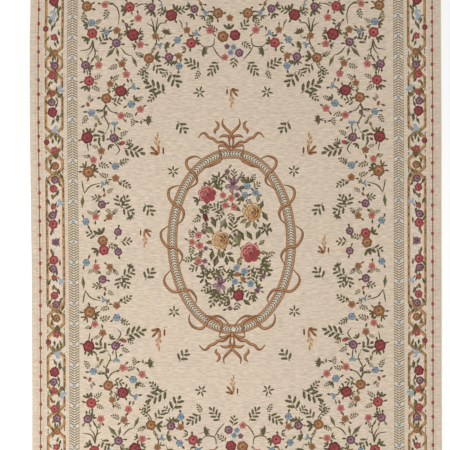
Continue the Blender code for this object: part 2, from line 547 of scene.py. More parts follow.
class PatternBook:
    """The unit drawings of flowers and sprigs, each pointing up and made once."""

    def __init__(self) -> None:
        """Open the book with no drawing in it."""
        self.pages: dict[Bloom | Foliage, Motif] = {}
        self.flower_drawers: dict[Shape, Callable[[Motif, Flower], None]] = {
            Shape.ROSE: self.draw_rose,
            Shape.CABBAGE_ROSE: self.draw_cabbage_rose,
            Shape.STAR: self.draw_star,
            Shape.ROUND: self.draw_round,
            Shape.BELL: self.draw_bell,
            Shape.BUD: self.draw_bud,
            Shape.IRIS: self.draw_iris,
        }

    def page(self, kind: Bloom | Foliage) -> Motif:
        """Return the drawing of a flower or sprig."""
        if kind not in self.pages:
            motif = Motif()
            if isinstance(kind, Bloom):
                self.flower_drawers[kind.value.shape](motif, kind.value)
            else:
                self.draw_sprig(motif, kind.value)
            self.pages[kind] = motif
        return self.pages[kind]

    @staticmethod
    def draw_rose(motif: Motif, flower: Flower) -> None:
        """Draw a rose of radius 1: a scalloped rim round a pale ring and a shaded heart."""
        motif.ring(flower.deep, 6, 0.60, (0.92, 0.78), 15, 6)
        motif.oval(flower.body, (0.0, 0.0), (1.46, 1.46), sides=9)
        for turn in (70, 130, 190):
            motif.oval(flower.body, pointing(turn, 0.82), (0.44, 0.20), turn, 4)
        motif.oval(flower.lit, (-0.03, 0.03), (0.98, 0.94), sides=8)
        for turn in (10, 110, 215, 300):
            motif.oval(flower.deep, pointing(turn, 0.45), (0.16, 0.26), turn, 4)
        motif.oval(flower.body, (0.04, -0.04), (0.64, 0.60), sides=7)
        motif.oval(flower.heart, (0.04, -0.06), (0.42, 0.38), sides=5)
        motif.oval(flower.lit, (-0.12, 0.10), (0.18, 0.14), sides=4)

    @staticmethod
    def draw_cabbage_rose(motif: Motif, flower: Flower) -> None:
        """Draw a full rose of radius 1: three rings of cupped petals with pale lips."""
        rings = ((7, 0.66, 0.72, 12.0), (5, 0.40, 0.58, 40.0), (3, 0.17, 0.40, 80.0))
        for count, radius, size, first in rings:
            for number in range(count):
                turn = first + 360.0 * number / count
                sunny = 50.0 < turn % 360.0 < 240.0
                lip = flower.lit if sunny else flower.body
                cup = flower.body if sunny or number % 2 else flower.deep
                centre = pointing(turn, radius)
                motif.oval(flower.deep, centre * 1.02, (size * 1.08, size * 0.98), turn, 8)
                motif.oval(lip, centre * 1.02, (size * 0.92, size * 0.80), turn, 7)
                motif.oval(cup, centre * 0.88, (size * 0.74, size * 0.58), turn, 7)
        motif.oval(flower.heart, (0.03, -0.03), (0.26, 0.22), sides=6)
        motif.oval(flower.lit, (-0.04, 0.04), (0.14, 0.08), 130, 5)

    @staticmethod
    def draw_star(motif: Motif, flower: Flower) -> None:
        """Draw an open flower of radius 1 with five broad petals."""
        motif.ring(flower.deep, 5, 0.52, (0.84, 0.94), 90, 5, tip=1.1, root=0.8)
        motif.ring(flower.body, 5, 0.56, (0.68, 0.78), 90, 6, tip=1.1, root=0.7)
        motif.ring(flower.lit, 5, 0.66, (0.34, 0.26), 90, 4)
        motif.oval(flower.heart, (0.0, 0.0), (0.34, 0.34), sides=5)

    @staticmethod
    def draw_round(motif: Motif, flower: Flower) -> None:
        """Draw a round many-petalled flower of radius 1."""
        motif.ring(flower.deep, 6, 0.56, (0.80, 0.80), 0, 5)
        motif.oval(flower.body, (-0.05, 0.05), (1.36, 1.36), sides=8)
        for turn in (60, 130, 300):
            motif.oval(flower.lit, pointing(turn, 0.62), (0.40, 0.40), turn, 5)
        motif.oval(flower.heart, (0.05, -0.05), (0.36, 0.36), sides=5)

    @staticmethod
    def draw_bell(motif: Motif, flower: Flower) -> None:
        """Draw a bell of half height 1 that opens upwards from its calyx."""
        for turn, across in ((56, 0.46), (124, -0.46)):
            motif.oval(flower.deep, (across, 0.45), (0.70, 0.96), turn, 6)
            motif.oval(flower.lit, (across, 0.56), (0.40, 0.60), turn, 5)
        motif.oval(flower.body, (0.0, 0.0), (0.92, 1.50), 90, 8, tip=1.1, root=0.5)
        motif.leaf(flower.heart, (0.0, -1.20), 0.84, 0.46, 90, 6)

    @staticmethod
    def draw_bud(motif: Motif, flower: Flower) -> None:
        """Draw a closed bud of half height 1 that points upwards."""
        motif.oval(flower.deep, (0.0, 0.10), (1.15, 1.70), 90, 8, point=0.30)
        motif.oval(flower.body, (0.08, 0.20), (0.66, 1.20), 90, 6, point=0.3)
        motif.oval(flower.lit, (-0.12, 0.30), (0.30, 0.84), 98, 5)
        for turn in (54, 126):
            motif.leaf(flower.heart, (0.0, -1.05), 0.90, 0.36, turn, 5)

    @staticmethod
    def draw_iris(motif: Motif, flower: Flower) -> None:
        """Draw an iris of radius 1: three upright petals over three hanging ones."""
        for turn in (212, 268, 328):
            motif.oval(flower.body, pointing(turn, 0.50), (0.54, 0.96), turn, 8, tip=1.3, root=0.6)
            motif.oval(flower.lit, pointing(turn, 0.56), (0.36, 0.70), turn, 6, tip=1.3, root=0.6)
        for turn in (52, 128, 90):
            motif.oval(flower.deep, pointing(turn, 0.50), (0.52, 1.00), turn, 8, tip=0.8)
            motif.oval(flower.body, pointing(turn + 4, 0.54), (0.42, 0.86), turn, 6, tip=0.8)
            motif.oval(flower.lit, pointing(turn + 8, 0.60), (0.16, 0.58), turn, 5)
        motif.oval(flower.deep, (0.0, 0.02), (0.34, 0.28), sides=6)

    @staticmethod
    def brown_spray() -> Motif:
        """Return the brown spray of length 1, with one leaf that lies loose beside it."""
        motif = Motif()
        motif.strip(Yarn.BRASS, bowed((0, 0), (0.02, 0.72), 0.05, 4), (0.035, 0.02))
        for turn, length, yarn in ((126, 0.54, Yarn.RUST), (160, 0.40, Yarn.RUST), (84, 0.46, Yarn.COCOA)):
            motif.leaf(yarn, (0, 0), length, 0.17, turn, 6, Yarn.BRASS)
        thin_leaves = ((0.34, 116, 0.34), (0.40, 68, 0.28), (0.56, 112, 0.28), (0.62, 84, 0.40))
        for root, turn, length in thin_leaves:
            motif.leaf(Yarn.BRASS, (0.01, root), length, 0.11, turn, 5)
        motif.leaf(Yarn.RUST, (0.22, 0.0), 0.34, 0.12, 88, 6)
        motif.strip(Yarn.BRASS, bowed((0.18, -0.04), (0.34, -0.10), 0.10, 2), (0.03, 0.02))
        return motif

    @staticmethod
    def draw_sprig(motif: Motif, sprig: Sprig) -> None:
        """Draw a sprig of length 1 that grows upwards from its root."""
        leaf, vein, sides = sprig.leaf, sprig.vein, sprig.sides
        long, wide = sprig.leaf_length, sprig.leaf_width
        if sprig.pairs < 0:
            rays = -sprig.pairs
            foot = 1.0 - long if 0.0 < long < 1.0 and not sprig.start else 0.0
            if foot:
                motif.strip(sprig.stem, bowed((0, 0), (0, foot), 0.06, 2), (sprig.stem_width,) * 2)
            for ray in range(rays):
                share = 2.0 * ray / (rays - 1) - 1.0 if rays > 1 else 0.0
                turn = 90.0 + sprig.lean * share
                reach = long * (1.0 - 0.16 * (ray % 2))
                root = Vector((0, foot)) + pointing(turn, sprig.start)
                motif.leaf(leaf, root, reach, wide, turn, sides, vein)
            return
        stem = bowed((0, 0), (0, 0.84), 0.05, 4)
        motif.strip(sprig.stem, stem, (sprig.stem_width, sprig.stem_width * 0.5))
        for pair in range(sprig.pairs):
            share = (pair + 0.6) / (sprig.pairs + 0.4)
            root = stem[0].lerp(stem[-1], share)
            size = 1.0 - 0.30 * abs(share - 0.35)
            for side in (-1, 1):
                start = root + Vector((0, 0.05 * side))
                turn = 90.0 + side * (sprig.lean - 14.0 * share)
                motif.leaf(leaf, start, long * size, wide * size, turn, sides, vein)
        motif.leaf(leaf, stem[-1], 0.30, wide * 1.05, 90, sides, vein)


Places = tuple[tuple[Bloom | Foliage | float, ...], ...]
Beds = tuple[tuple[Bloom | Foliage, Rows], ...]


def leaflets(flowers: Iterable[Rows], seed: int) -> Motif:
    """Return the small leaves that look out from behind flowers.

    Args:
        flowers: Rows of places, each with how far across and along it lies, and its size.
        seed: What the leaves' own places are drawn from.

    Returns:
        The leaves.
    """
    motif = Motif()
    maker = random.Random(seed)
    for rows in flowers:
        for across, along, size, *_ in rows:
            first = maker.uniform(0.0, 360.0)
            count = 4 if size > 18 else 2
            for number in range(count):
                turn = first + (360.0 * number + maker.uniform(-90.0, 90.0)) / count
                root = Vector((across, along)) + pointing(turn, size * 0.70)
                lean = turn + maker.uniform(-30.0, 30.0)
                yarn = maker.choice((Yarn.OLIVE, Yarn.OLIVE, Yarn.SAGE))
                motif.leaf(yarn, root, maker.uniform(18.0, 26.0), maker.uniform(8.5, 11.0), lean, 5)
    return motif


@dataclass
class FieldSprays:
    """The flowering sprays round the field, drawn for one quarter and turned over for the rest.

    A row holds how far the motif lies across and along the rug from the middle of the field, its
    size, and where it points in degrees, for the upper left quarter.
    """

    axis: float = -9.0
    stem_widths: tuple[float, ...] = (3.0, 5.4, 4.4, 2.2)
    blooms: Beds = (
        (Bloom.AMBER_ROSE, (
            (-570, 919, 22), (-58, 890, 22), (-327, 715, 22), (-493, 560, 22), (-565, 273, 25),
        )),
        (Bloom.RED_ROSE, (
            (-403, 916, 22), (-548, 814, 22), (-163, 774, 22), (-560, 628, 22),
        )),
        (Bloom.CRIMSON_ROSE, (
            (-240, 883, 25), (-389, 807, 26), (-437, 588, 24), (-569, 407, 25),
        )),
        (Bloom.PLUM_ROSE, (
            (-318, 915, 18), (-150, 907, 18), (-454, 776, 19), (-249, 719, 19), (-574, 690, 19),
            (-465, 405, 19), (-514, 146, 18), (-452, 39, 17),
        )),
        (Bloom.PINK_STAR, (
            (-500, 925, 16), (-369, 872, 17), (-361, 769, 17), (-89, 824, 18), (-523, 690, 17),
            (-415, 653, 17), (-361, 517, 17), (-436, 491, 17), (-545, 320, 16), (-538, 99, 16),
        )),
        (Bloom.AMBER_STAR, (
            (-452, 824, 17), (-302, 802, 16), (-179, 825, 16), (-211, 723, 16), (-432, 694, 17),
            (-478, 616, 16), (-514, 355, 17), (-459, 248, 17), (-485, 98, 16),
        )),
        (Bloom.BLUE_ROUND, (
            (-551, 855, 17), (-492, 817, 13), (-216, 786, 16), (-210, 684, 16), (-396, 537, 17),
            (-551, 504, 16), (-459, 295, 17), (-577, 80, 16),
        )),
        (Bloom.BLUE_BELL, (
            (-279, 926, 10, 265), (-103, 892, 16, 200), (-288, 767, 15, -20), (-140, 810, 15, 150),
            (-391, 603, 16, 20), (-461, 456, 16), (-510, 224, 13, 60),
        )),
        (Bloom.AMBER_BUD, (
            (-126, 928, 11, 110), (-534, 457, 10, 80), (-358, 466, 8, -90),
        )),
        (Bloom.RED_BUD, (
            (-565, 537, 11, 110), (-433, 385, 15, 20), (-504, 183, 9, 60),
        )),
        (Bloom.PLUM_BUD, (
            (-414, 844, 13, 120), (-495, 502, 11, -90),
        )),
    )
    leaves: Beds = (
        (Foliage.FAN, (
            (-414, 905, 31, 190), (-310, 900, 28, 240), (-226, 902, 28, 60), (-156, 888, 25, 240),
            (-78, 877, 25, 215), (-565, 849, 25, 195), (-565, 796, 27, 220), (-445, 810, 18, -40),
            (-408, 816, 22, 160), (-366, 795, 22, -25), (-145, 779, 22, 25), (-559, 681, 20, -30),
            (-305, 718, 31, 10), (-235, 704, 22, 300), (-570, 609, 27, 250), (-419, 583, 20, -10),
            (-386, 553, 22, 40), (-562, 424, 26, 70), (-545, 281, 24, 20), (-484, 379, 22, 310),
        )),
        (Foliage.PALE_FAN, (
            (-330, 916, 21, 170), (-260, 894, 25, 150), (-165, 914, 25, 165), (-112, 880, 22, 230),
            (-500, 821, 20, 130), (-366, 816, 22, 20), (-377, 765, 21, 200), (-184, 757, 20, 215),
            (-425, 706, 18, 60), (-249, 704, 25, 255), (-456, 595, 20, 165), (-526, 466, 17, 30),
            (-576, 292, 26, 130), (-500, 231, 17, 20),
        )),
        (Foliage.FINE, (
            (-576, 894, 34, 250), (-487, 908, 39, 250), (-92, 835, 34, 100), (-537, 852, 27, 30),
            (-526, 704, 24, 95), (-447, 687, 35, 195), (-347, 720, 34, 150), (-335, 678, 42, 215),
            (-341, 673, 49, 265), (-128, 667, 35, 240), (-542, 637, 31, 20), (-548, 611, 34, -40),
            (-470, 628, 31, 40), (-296, 583, 48, 225), (-380, 550, 31, 25), (-562, 550, 22, 75),
            (-565, 494, 35, 235), (-540, 494, 24, -55), (-425, 499, 34, -15), (-386, 483, 31, 255),
            (-442, 415, 32, 25), (-526, 365, 24, 150), (-559, 329, 24, 160), (-526, 306, 40, -20),
            (-447, 304, 40, 25), (-487, 253, 35, 160), (-442, 239, 47, -35), (-495, 192, 27, 30),
            (-498, 130, 27, -45), (-528, 124, 24, 215), (-548, 108, 24, 150), (-475, 108, 29, 40),
        )),
        (Foliage.DARK, (
            (-279, 916, 34, 265), (-221, 897, 39, 15), (-520, 768, 48, 55), (-310, 695, 46, 310),
            (-254, 673, 34, 235), (-246, 662, 63, 300), (-473, 541, 40, 15), (-492, 429, 56, 215),
            (-419, 376, 29, 40), (-514, 166, 37, 165), (-436, 136, 51, 330), (-436, 130, 50, 110),
            (-436, 136, 47, 62), (-218, 470, 54, 306), (-349, 150, 54, 306),
        )),
        (Foliage.BOLD, (
            (-131, 673, 64, 145), (-56, 701, 63, 232), (-263, 578, 85, 150), (-428, 365, 79, -15),
        )),
        (Foliage.UMBEL, (
            (-268, 793, 45, 70), (-279, 774, 40, -22), (-137, 748, 45, -15), (-355, 477, 45, -5),
            (-414, 113, 35, 300),
        )),
        (Foliage.LANCE, (
            (-456, 761, 60, 228), (-453, 761, 43, -80), (-394, 726, 51, -65), (-587, 185, 54, 265),
        )),
        (Foliage.LEAF_STAR, (
            (-131, 582, 23, 100), (-235, 274, 23, 60),
        )),
    )
    stems: Rows = (
        (-495, 939, -457, 919, -444, 886, -447, 845), (-380, 916, -361, 926, -340, 927),
        (-210, 866, -200, 849, -197, 830), (-123, 919, -116, 907, -106, 897),
        (-436, 757, -417, 734, -391, 724), (-303, 802, -298, 774, -319, 745),
        (-159, 816, -146, 807), (-72, 793, -78, 764, -112, 759, -131, 774),
        (-78, 760, -62, 733, -40, 709), (-569, 673, -565, 651),
        (-554, 695, -545, 715, -526, 726), (-324, 695, -337, 672),
        (-495, 536, -508, 513, -529, 505), (-495, 536, -478, 511, -450, 502),
        (-497, 530, -502, 494, -484, 456, -493, 433), (-461, 446, -464, 421),
        (-464, 390, -443, 360, -457, 339), (-569, 385, -564, 354),
        (-582, 189, -559, 218, -518, 230), (-591, 239, -587, 214, -581, 189),
        (-303, 807, -313, 838, -335, 852), (-303, 807, -310, 846, -319, 873),
        (-303, 807, -297, 846, -293, 873), (-303, 807, -286, 849, -259, 852),
        (-545, 788, -559, 754, -594, 746), (-545, 785, -548, 751, -566, 726),
        (-544, 785, -540, 754, -523, 742), (-542, 762, -536, 734, -547, 704),
    )
    lone: Places = (
        (Bloom.AMBER_ROSE, -521, 5, 22), (Bloom.RED_ROSE, -517, -32, 22),
        (Foliage.FAN, -528, 28, 34, 110), (Foliage.DARK, -540, 22, 44, 160),
        (Foliage.FINE, -500, -10, 40, 340), (Foliage.FAN, -540, -30, 28, 215),
        (Foliage.DARK, -452, 2, 42, 0), (Bloom.RED_ROSE, 505, 30, 22), (Bloom.AMBER_ROSE, 510, -6, 22),
        (Foliage.FAN, 516, -30, 34, 290), (Foliage.DARK, 528, -24, 44, 340),
        (Foliage.FINE, 488, 10, 40, 160), (Foliage.FAN, 528, 30, 28, 35),
        (Foliage.DARK, 436, -2, 42, 180), (Bloom.AMBER_ROSE, -48, 799, 24),
        (Bloom.CRIMSON_ROSE, -1, 804, 23), (Bloom.AMBER_STAR, -21, 872, 16),
        (Bloom.LILAC_STAR, -32, 760, 13), (Bloom.BLUE_STAR, -7, 757, 13),
        (Bloom.BLUE_STAR, -18, 737, 13), (Bloom.PLUM_ROSE, 15, 735, 18), (Bloom.PINK_STAR, -41, 718, 16),
        (Foliage.FAN, -25, 826, 30), (Foliage.DARK, 20, 824, 44, 50), (Foliage.FINE, -70, 815, 42, 140),
        (Foliage.FINE, 26, 780, 40, 320), (Foliage.DARK, -2, 722, 40, 262),
        (Bloom.CRIMSON_ROSE, -24, -798, 23), (Bloom.AMBER_ROSE, 21, -801, 24),
        (Bloom.AMBER_STAR, 2, -872, 16), (Bloom.BLUE_STAR, -11, -757, 13),
        (Bloom.BLUE_STAR, 0, -737, 13), (Bloom.LILAC_STAR, 14, -760, 13),
        (Bloom.PLUM_ROSE, -33, -735, 18), (Bloom.PINK_STAR, 23, -718, 16),
        (Foliage.FAN, 7, -826, 30, 270), (Foliage.DARK, -38, -824, 44, 230),
        (Foliage.FINE, 52, -815, 42, 320), (Foliage.FINE, -44, -780, 40, 140),
        (Foliage.DARK, -16, -722, 40, 82),
    )
    brown_spray: tuple[float, ...] = (-292, 338, 90, 94)
    lone_brown_sprays: Rows = (
        (-15, 597, 78, 270), (-15, -597, 78, 90), (-356, 49, 74, 270), (343, -49, 74, 90),
    )

    def lay_out(self, cartoon: Cartoon, book: PatternBook) -> None:
        """Lay every spray of the field.

        Args:
            cartoon: Where they are laid.
            book: Where their drawings come from.
        """
        for mirror_across in (1, -1):
            for mirror_along in (1, -1):
                mirror = Matrix.Translation((self.axis, 0.0, 0.0))
                mirror @= Matrix.Diagonal((mirror_across, mirror_along, 1.0, 1.0))
                self.lay_quarter(cartoon, book, mirror)
        for kind, *row in self.lone:
            level = Level.BLOOM if isinstance(kind, Bloom) else Level.LEAF
            cartoon.lay_spot(book.page(kind), row, Matrix.Identity(4), level)
        for row in self.lone_brown_sprays:
            cartoon.lay_spot(book.brown_spray(), row, Matrix.Identity(4), Level.LEAF)

    def lay_quarter(self, cartoon: Cartoon, book: PatternBook, mirror: Matrix) -> None:
        """Lay one quarter's stems, leaves and flowers through its mirror."""
        twigs = Motif()
        for row in self.stems:
            points = list(zip(row[::2], row[1::2]))
            twigs.strip(Yarn.OLIVE, smooth_path(points, 3), self.stem_widths)
        cartoon.lay(twigs, mirror, Level.STEM)
        self.lay_beds(cartoon, book, self.leaves, mirror, Level.LEAF)
        cartoon.lay_spot(book.brown_spray(), self.brown_spray, mirror, Level.LEAF)
        cartoon.lay(leaflets((rows for _, rows in self.blooms), 5), mirror, Level.LEAF)
        self.lay_beds(cartoon, book, self.blooms, mirror, Level.BLOOM)

    @staticmethod
    def lay_beds(cartoon: Cartoon, book: PatternBook, beds: Beds, mirror: Matrix, level: Level) -> None:
        """Lay the rows of each kind in turn."""
        for kind, rows in beds:
            for row in rows:
                cartoon.lay_spot(book.page(kind), row, mirror, level)


@dataclass
class Medallion:
    """The oval ring in the field's middle, its winding ribbon, its bows and its bouquet.

    Every place is in millimetres from the medallion's middle.
    """

    middle: Point = (-17.5, 0.0)
    half_size: Point = (252.0, 363.0)
    rail: float = 11.0
    outer_lip: float = 2.6
    inner_lip: float = 2.0
    ring_width: float = 40.0
    sides: int = 88
    plait_pitch: float = 10.6
    stroke_foot: float = 9.0
    stroke_tip: float = 1.2
    stroke_run: float = 7.6
    stroke_widths: Point = (2.8, 4.0)
    knot_coats: tuple[tuple[Yarn, Point], ...] = ((Yarn.RUST, (18.0, 22.0)), (Yarn.BRASS, (10.0, 15.0)))
    ribbon_width: float = 10.5
    loops: Rows = (
        (-116, 322, -142, 332, -171, 320, -173, 294, -150, 268, -136, 250, -137, 226, -176, 201),
        (-203, 219, -226, 214, -244, 200, -243, 171, -222, 144, -196, 132, -186, 110, -193, 84, -213, 66),
        (-249, 60, -275, 39, -273, 10, -251, -20, -220, -25, -200, -42, -193, -63, -206, -90),
        (-238, -110, -263, -140, -259, -169, -229, -196, -190, -190, -160, -192, -139, -222, -143, -240),
        (
            -165, -283, -168, -304, -157, -328, -127, -341, -106, -328, -86, -301, -57, -291, -29, -305,
            -6, -334,
        ),
    )
    top_bow: Rows = (
        (2, 360, 8, 388, 6, 404, 0, 419, -12, 431, -25, 444, -34, 459, -31, 478),
        (-62, 470, -51, 459, -52, 444, -64, 431, -61, 419),
        (-129, 404, -115, 420, -101, 421, -87, 406, -70, 400, -53, 387, -34, 388, -14, 374, -2, 362),
        (-47, 405, -32, 412, -14, 410, -2, 400),
        (-52, 368, -40, 375, -24, 372, -2, 362),
        (-50, 366, -44, 348, -42, 330, -44, 314, -66, 302, -88, 292, -112, 289),
    )
    flowers: Places = (
        (Bloom.CABBAGE_RED, -95, 185, 36), (Bloom.CABBAGE_RED, 72, -44, 40, 75),
        (Bloom.CABBAGE_GOLD, 79, 114, 38), (Bloom.CABBAGE_GOLD, -44, 4, 37, 120),
        (Bloom.CRIMSON_ROSE, 25, -211, 24), (Bloom.IRIS, 5, 222, 34, 80),
        (Bloom.IRIS, -47, -166, 32, 75), (Bloom.PINK_STAR, -33, 180, 15),
        (Bloom.PINK_STAR, -1, 168, 16, 60), (Bloom.PINK_STAR, -24, 141, 16, 100),
        (Bloom.PINK_STAR, 10, 133, 16, 80), (Bloom.PINK_STAR, -130, 25, 16),
        (Bloom.PINK_STAR, -155, -2, 15, 70), (Bloom.PINK_STAR, -125, -16, 17, 110),
        (Bloom.PINK_STAR, -130, -76, 16), (Bloom.LILAC_STAR, -16, 272, 12),
        (Bloom.LILAC_STAR, 22, 180, 13), (Bloom.LILAC_STAR, -107, 36, 11),
        (Bloom.LILAC_STAR, -102, -27, 11), (Bloom.LILAC_STAR, -105, -76, 12),
        (Bloom.LILAC_STAR, -115, -97, 11), (Bloom.LILAC_STAR, 122, -137, 12),
        (Bloom.LILAC_STAR, 98, -193, 14), (Bloom.LILAC_STAR, -8, -261, 11),
        (Bloom.BLUE_ROUND, 61, 215, 16), (Bloom.BLUE_ROUND, 53, 180, 15),
        (Bloom.BLUE_STAR, 94, 189, 16, 80), (Bloom.BLUE_STAR, 18, -104, 15),
        (Bloom.BLUE_STAR, 49, -117, 16, 70), (Bloom.BLUE_STAR, 12, -157, 15, 100),
        (Bloom.BLUE_STAR, 73, -166, 16), (Bloom.AMBER_STAR, 20, -129, 12),
        (Bloom.AMBER_STAR, 44, -147, 13, 80), (Bloom.DARK_BUD, -102, 93, 19, 115),
    )
    greenery: Places = (
        (Foliage.ONE_LEAF, -62, 52, 50, 108), (Foliage.PALE_LEAF, -44, 50, 46, 62),
        (Foliage.PALE_LEAF, -66, 28, 52, 140), (Foliage.BOLD, 2, 30, 60, 84),
        (Foliage.ONE_LEAF, -26, 46, 32, 80), (Foliage.ONE_LEAF, -70, 0, 34, 190),
        (Foliage.ONE_LEAF, -74, -30, 48, 262), (Foliage.ONE_LEAF, -54, -52, 52, 252),
        (Foliage.PALE_LEAF, -52, -26, 44, 285), (Foliage.ONE_LEAF, -32, -34, 34, 265),
        (Foliage.ONE_LEAF, -24, -48, 32, 2), (Foliage.ONE_LEAF, -22, -54, 42, 276),
        (Foliage.ONE_LEAF, -14, -56, 38, 314), (Foliage.DARK, 0, -30, 58, 78),
        (Foliage.ONE_LEAF, 50, 2, 54, 122), (Foliage.ONE_LEAF, 82, 4, 46, 124),
        (Foliage.ONE_LEAF, 94, 6, 46, 66), (Foliage.PALE_LEAF, 30, -22, 56, 104),
        (Foliage.PALE_LEAF, 104, -16, 34, 40), (Foliage.PALE_LEAF, 106, -44, 34, 358),
        (Foliage.PALE_LEAF, 36, -58, 40, 250), (Foliage.FAN, 118, -70, 30, 330),
        (Foliage.ONE_LEAF, 112, 122, 40, 74), (Foliage.ONE_LEAF, 118, 118, 46, 302),
        (Foliage.PALE_LEAF, 76, 82, 40, 234), (Foliage.PALE_LEAF, 86, 80, 36, 286),
        (Foliage.PALE_LEAF, 62, 86, 34, 206), (Foliage.PALE_LEAF, 100, 150, 34, 78),
        (Foliage.ONE_LEAF, 38, 116, 36, 145), (Foliage.ONE_LEAF, 36, 100, 30, 230),
        (Foliage.FINE, 116, 62, 44, 330), (Foliage.LEAF_STAR, 132, 48, 28, 80),
        (Foliage.ONE_LEAF, 24, 206, 38, 12), (Foliage.FAN, 60, 226, 34, 78),
        (Foliage.FINE, 48, 228, 40, 100), (Foliage.FINE, 76, 228, 36, 62),
        (Foliage.ONE_LEAF, 50, 165, 36, 188), (Foliage.DARK, 84, 205, 34, 40),
        (Foliage.FINE, 60, 168, 36, 300), (Foliage.DARK, 8, 246, 34, 84),
        (Foliage.BOLD, -36, 214, 54, 130), (Foliage.LEAF_STAR, -48, 244, 26, 120),
        (Foliage.FINE, -10, 236, 36, 110), (Foliage.PALE_FAN, -84, 218, 28, 100),
        (Foliage.FAN, -60, 206, 30, 50), (Foliage.FAN, -128, 164, 26, 205),
        (Foliage.DARK, -56, 158, 36, 320), (Foliage.BOLD, -36, 116, 54, 150),
        (Foliage.FINE, -30, 126, 50, 236), (Foliage.DARK, -6, 116, 32, 280),
        (Foliage.FINE, -98, 148, 42, 270), (Foliage.UMBEL, -100, 112, 38, 95),
        (Foliage.ONE_LEAF, -104, 104, 36, 132), (Foliage.FINE, -104, 76, 38, 268),
        (Foliage.FINE, -116, 92, 36, 200), (Foliage.ONE_LEAF, -134, 38, 26, 120),
        (Foliage.FINE, -152, 12, 34, 110), (Foliage.FINE, -154, -12, 40, 262),
        (Foliage.DARK, -128, -40, 38, 256), (Foliage.FINE, -148, -66, 40, 190),
        (Foliage.ONE_LEAF, -116, -60, 30, 110), (Foliage.DARK, -124, -92, 42, 200),
        (Foliage.DARK, -96, -96, 44, 250), (Foliage.LEAF_STAR, -106, -140, 32, 200),
        (Foliage.BOLD, -70, -104, 56, 290), (Foliage.BOLD, -30, -92, 56, 246),
        (Foliage.DARK, -52, -128, 38, 150), (Foliage.DARK, -10, -100, 44, 286),
        (Foliage.FINE, 0, -116, 40, 250), (Foliage.BOLD, 84, -96, 62, 298),
        (Foliage.FINE, 74, -104, 56, 272), (Foliage.DARK, 112, -86, 56, 310),
        (Foliage.BOLD, 124, -76, 50, 276), (Foliage.FINE, 130, -110, 38, 60),
        (Foliage.FINE, 128, -60, 40, 20), (Foliage.FINE, 36, -166, 46, 264),
        (Foliage.DARK, 62, -190, 46, 300), (Foliage.FAN, 98, -182, 26, 50),
        (Foliage.DARK, 94, -204, 32, 250), (Foliage.FAN, 8, -190, 26, 150),
        (Foliage.ONE_LEAF, 42, -226, 40, 322), (Foliage.DARK, 22, -232, 32, 268),
        (Foliage.DARK, -4, -222, 40, 208), (Foliage.FAN, -8, -246, 22, 150),
        (Foliage.PALE_FAN, -62, -186, 48, 248), (Foliage.FINE, -46, -190, 58, 268),
        (Foliage.FINE, -64, -196, 60, 252), (Foliage.FINE, -76, -166, 48, 212),
        (Foliage.DARK, -20, -180, 40, 320), (Foliage.FINE, -30, -198, 40, 290),
    )

    def ring(self) -> Motif:
        """Return the ring: two brown rails and a pale plait between them."""
        motif = Motif()
        rail, width = self.rail, self.ring_width
        coats = (
            (Yarn.COCOA, 0.0), (Yarn.TAN, self.outer_lip), (Yarn.COCOA, rail - self.inner_lip),
            (Yarn.PLAIT, rail), (Yarn.COCOA, width - rail), (Yarn.TAN, width - rail + self.inner_lip),
            (Yarn.COCOA, width - self.outer_lip), (Yarn.FIELD_CREAM, width),
        )
        for yarn, inset in coats:
            size = (2 * (self.half_size[0] - inset), 2 * (self.half_size[1] - inset))
            motif.oval(yarn, (0.0, 0.0), size, 90, self.sides)
        self.plait(motif)
        return motif

    def plait(self, motif: Motif) -> None:
        """Lay the ring's plait: pairs of slanting strokes at an even pitch."""
        across, along = (half - self.ring_width / 2 for half in self.half_size)
        fine_steps = 1440
        walked = 0.0
        last = Vector((across, 0.0))
        for step in range(1, fine_steps + 1):
            angle = 2.0 * math.pi * step / fine_steps
            here = Vector((across * math.cos(angle), along * math.sin(angle)))
            walked += (here - last).length
            if walked >= self.plait_pitch:
                walked -= self.plait_pitch
                run = (here - last).normalized()
                upwards = 1.0 if here.x < 0 else -1.0
                out = Vector((run.y, -run.x))
                for side in (-1, 1):
                    start = here + out * self.stroke_foot * side
                    end = here + out * self.stroke_tip * side - run * self.stroke_run * upwards
                    motif.strip(Yarn.OLIVE_DEEP, [start, end], self.stroke_widths)
            last = here

    def ribbon(self, motif: Motif, row: Sequence[float], mirror: int, ends: float = 0.35) -> None:
        """Lay one length of ribbon: a brown band with an ochre one along its lit side."""
        points = [(mirror * across, along) for across, along in zip(row[::2], row[1::2])]
        path = smooth_path(points, 4)
        width = self.ribbon_width
        motif.strip(Yarn.RUST, path, (width * ends, width, width * 1.1, width, width * ends))
        inner = [here + Vector((-0.7, 0.9)) for here in path]
        lit = width * 0.60
        motif.strip(Yarn.COCOA, inner, (lit * ends, lit, lit, lit * 0.7, lit * ends))
        third = max(2, len(path) // 4)
        bright = inner[third : len(path) - third]
        motif.strip(Yarn.BRASS, bright, (0.8, width * 0.40, width * 0.44, 0.8))

    def ribbons(self) -> Motif:
        """Return the winding ribbon and both bows."""
        motif = Motif()
        for mirror in (1, -1):
            for row in self.loops:
                self.ribbon(motif, row, mirror)
            for row in self.top_bow:
                self.ribbon(motif, row, mirror)
                upside_down = [value if place % 2 == 0 else -value for place, value in enumerate(row)]
                self.ribbon(motif, upside_down, mirror)
        for end in (1, -1):
            for yarn, size in self.knot_coats:
                motif.oval(yarn, (0.0, self.half_size[1] * end), size, 90, 8)
        return motif

    def lay_out(self, cartoon: Cartoon, book: PatternBook) -> None:
        """Lay the ring, the ribbon and the bouquet."""
        place = Matrix.Translation((*self.middle, 0.0))
        cartoon.lay(self.ring(), place, Level.RING)
        cartoon.lay(leaflets([[row[1:] for row in self.flowers]], 7), place, Level.RING)
        for kind, *row in (*self.greenery, *self.flowers):
            cartoon.lay_spot(book.page(kind), row, place, Level.BLOOM)
        cartoon.lay(self.ribbons(), place, Level.RIBBON)


